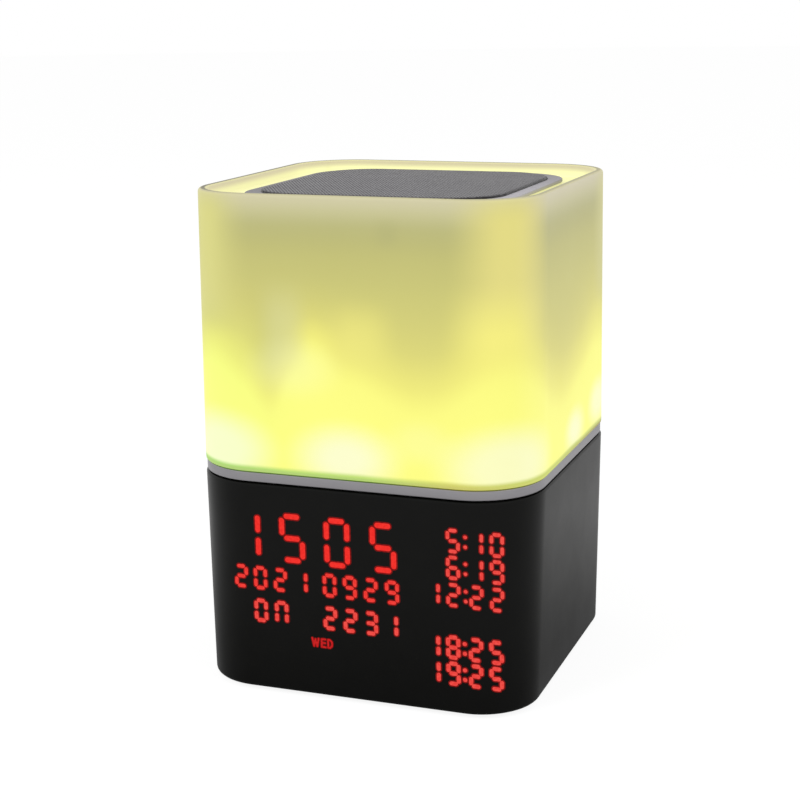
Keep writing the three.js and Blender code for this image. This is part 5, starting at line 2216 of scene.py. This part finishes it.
@dataclass
class Studio:
    """The floor, the light and the camera."""

    azimuth: float = 20.285
    elevation: float = 13.382
    roll: float = -0.761
    focal_pixels: float = 1693.8
    picture_pixels: float = 800.0
    floor_rings: tuple[float, ...] = (60.0, 400.0, 1500.0, 6000.0)
    floor_grey: float = 0.86
    floor_shine: float = 1.09
    floor_share: float = 0.82
    # Painted shadow round the object, seen in reflections of the floor.
    floor_shadow_fall: tuple[float, ...] = (0.03, 0.19, 0.2, 0.82)
    world_light: float = 0.62
    aim: Point = (0, 0, 70)

    def build(self) -> None:
        """Sets up the studio."""
        self.camera()
        self.floor()
        self.world()
        self.lamp("key_lamp", (-700.0, -900.0, 1000.0), 700.0, 9.0)
        self.lamp("fill_lamp", (900.0, -300.0, 700.0), 700.0, 4.0)
        settings = bpy.context.scene.view_settings
        settings.view_transform = "Standard"

    def camera(self) -> None:
        """Places the camera as the photograph was taken."""
        turn, rise, tilt = (math.radians(value) for value in (self.azimuth, self.elevation, self.roll))
        level = math.cos(rise)
        back = Vector((math.sin(turn) * level, -math.cos(turn) * level, math.sin(rise)))
        right = Vector((math.cos(turn), math.sin(turn), 0.0))
        up = back.cross(right)
        cosine, sine = math.cos(tilt), math.sin(tilt)
        right, up = right * cosine + up * sine, up * cosine - right * sine
        data = bpy.data.cameras.new("photo_camera")
        data.sensor_width = 36.0
        data.lens = self.focal_pixels * data.sensor_width / self.picture_pixels
        data.clip_start, data.clip_end = 0.01, 50.0
        camera = bpy.data.objects.new("photo_camera", data)
        bpy.context.scene.collection.objects.link(camera)
        matrix = Matrix((right, up, back)).transposed().to_4x4()
        matrix.translation = Vector(EYE) * MILLIMETRE
        camera.matrix_world = matrix
        bpy.context.scene.camera = camera

    def seen_directly(self, tree: NodeTree) -> Socket:
        """Adds the test for rays that show a background.

        Args:
            tree: The node tree it goes into.

        Returns:
            1 for camera, glossy and transmission rays, else 0.
        """
        path = tree.add("ShaderNodeLightPath")
        total = path.outputs["Is Camera Ray"]
        for name in ("Is Glossy Ray", "Is Transmission Ray"):
            total = tree.number("MAXIMUM", total, path.outputs[name])
        return total

    def floor(self) -> None:
        """Builds the pale floor, which keeps a soft shadow."""
        draft = MeshDraft()
        loops = [draft.ring(circle(radius, 96), 0.0) for radius in self.floor_rings]
        draft.stack(loops)
        draft.face(loops[0])
        floor = draft.make("studio_floor")
        material = bpy.data.materials.new("studio_floor")
        tree = NodeTree(material, "ShaderNodeOutputMaterial")
        grey = (self.floor_grey, self.floor_grey, self.floor_grey, 1.0)
        matt = tree.add("ShaderNodeBsdfDiffuse", {"Color": grey}).outputs[0]
        light = tree.add("ShaderNodeEmission", {"Strength": self.floor_light(tree)}).outputs[0]
        share = tree.number("MULTIPLY", self.seen_directly(tree), self.floor_share)
        blend = tree.add("ShaderNodeMixShader", {0: share, 1: matt, 2: light})
        tree.put(tree.output.inputs["Surface"], blend.outputs[0])
        floor.data.materials.append(material)

    def floor_light(self, tree: NodeTree) -> Socket:
        """Sets the floor's brightness, with a painted shadow near the object that shows in reflections.

        Args:
            tree: The floor's nodes.

        Returns:
            The brightness.
        """
        place = tree.add("ShaderNodeTexCoord").outputs["Object"]
        fall = tree.smooth_step(tree.vector("LENGTH", place), *self.floor_shadow_fall)
        seen = tree.add("ShaderNodeLightPath").outputs["Is Camera Ray"]
        return tree.number("MAXIMUM", tree.number("MULTIPLY", seen, self.floor_shine), fall)

    def world(self) -> None:
        """Makes the white surroundings."""
        world = bpy.data.worlds.new("studio_world")
        bpy.context.scene.world = world
        tree = NodeTree(world, "ShaderNodeOutputWorld")
        limits = {0: self.seen_directly(tree), 3: self.world_light, 4: 1.0}
        strength = tree.add("ShaderNodeMapRange", limits).outputs[0]
        inputs = {"Color": (1.0, 1.0, 1.0, 1.0), "Strength": strength}
        background = tree.add("ShaderNodeBackground", inputs)
        tree.put(tree.output.inputs["Surface"], background.outputs[0])

    def lamp(self, name: str, place: Point, size: float, power: float) -> None:
        """Adds a soft box that looks at the object.

        Args:
            name: Its name.
            place: Where it hangs.
            size: The width of its face.
            power: Its power in watts.
        """
        data = bpy.data.lights.new(name, "AREA")
        data.shape = "SQUARE"
        data.size = size * MILLIMETRE
        data.energy = power
        lamp = bpy.data.objects.new(name, data)
        bpy.context.scene.collection.objects.link(lamp)
        lamp.location = Vector(place) * MILLIMETRE
        lamp.rotation_mode = "QUATERNION"
        lamp.rotation_quaternion = (Vector(self.aim) - Vector(place)).to_track_quat("-Z", "Y")
        lamp.visible_glossy = False


def main() -> None:
    """Builds the sub-assemblies in order and reports each piece."""
    logging.basicConfig(level=logging.INFO, format="%(message)s")
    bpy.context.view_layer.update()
    for part in (
        Studio(),
        ClockBase(),
        Display(),
        TrimRing(),
        GlowShade(),
        SpeakerTop(),
        SpeakerDriver(),
        LampBoard(),
        Electronics(),
        BackPanel(),
    ):
        LOG.info("building %s", type(part).__name__)
        part.build()


if __name__ == "__main__":
    main()
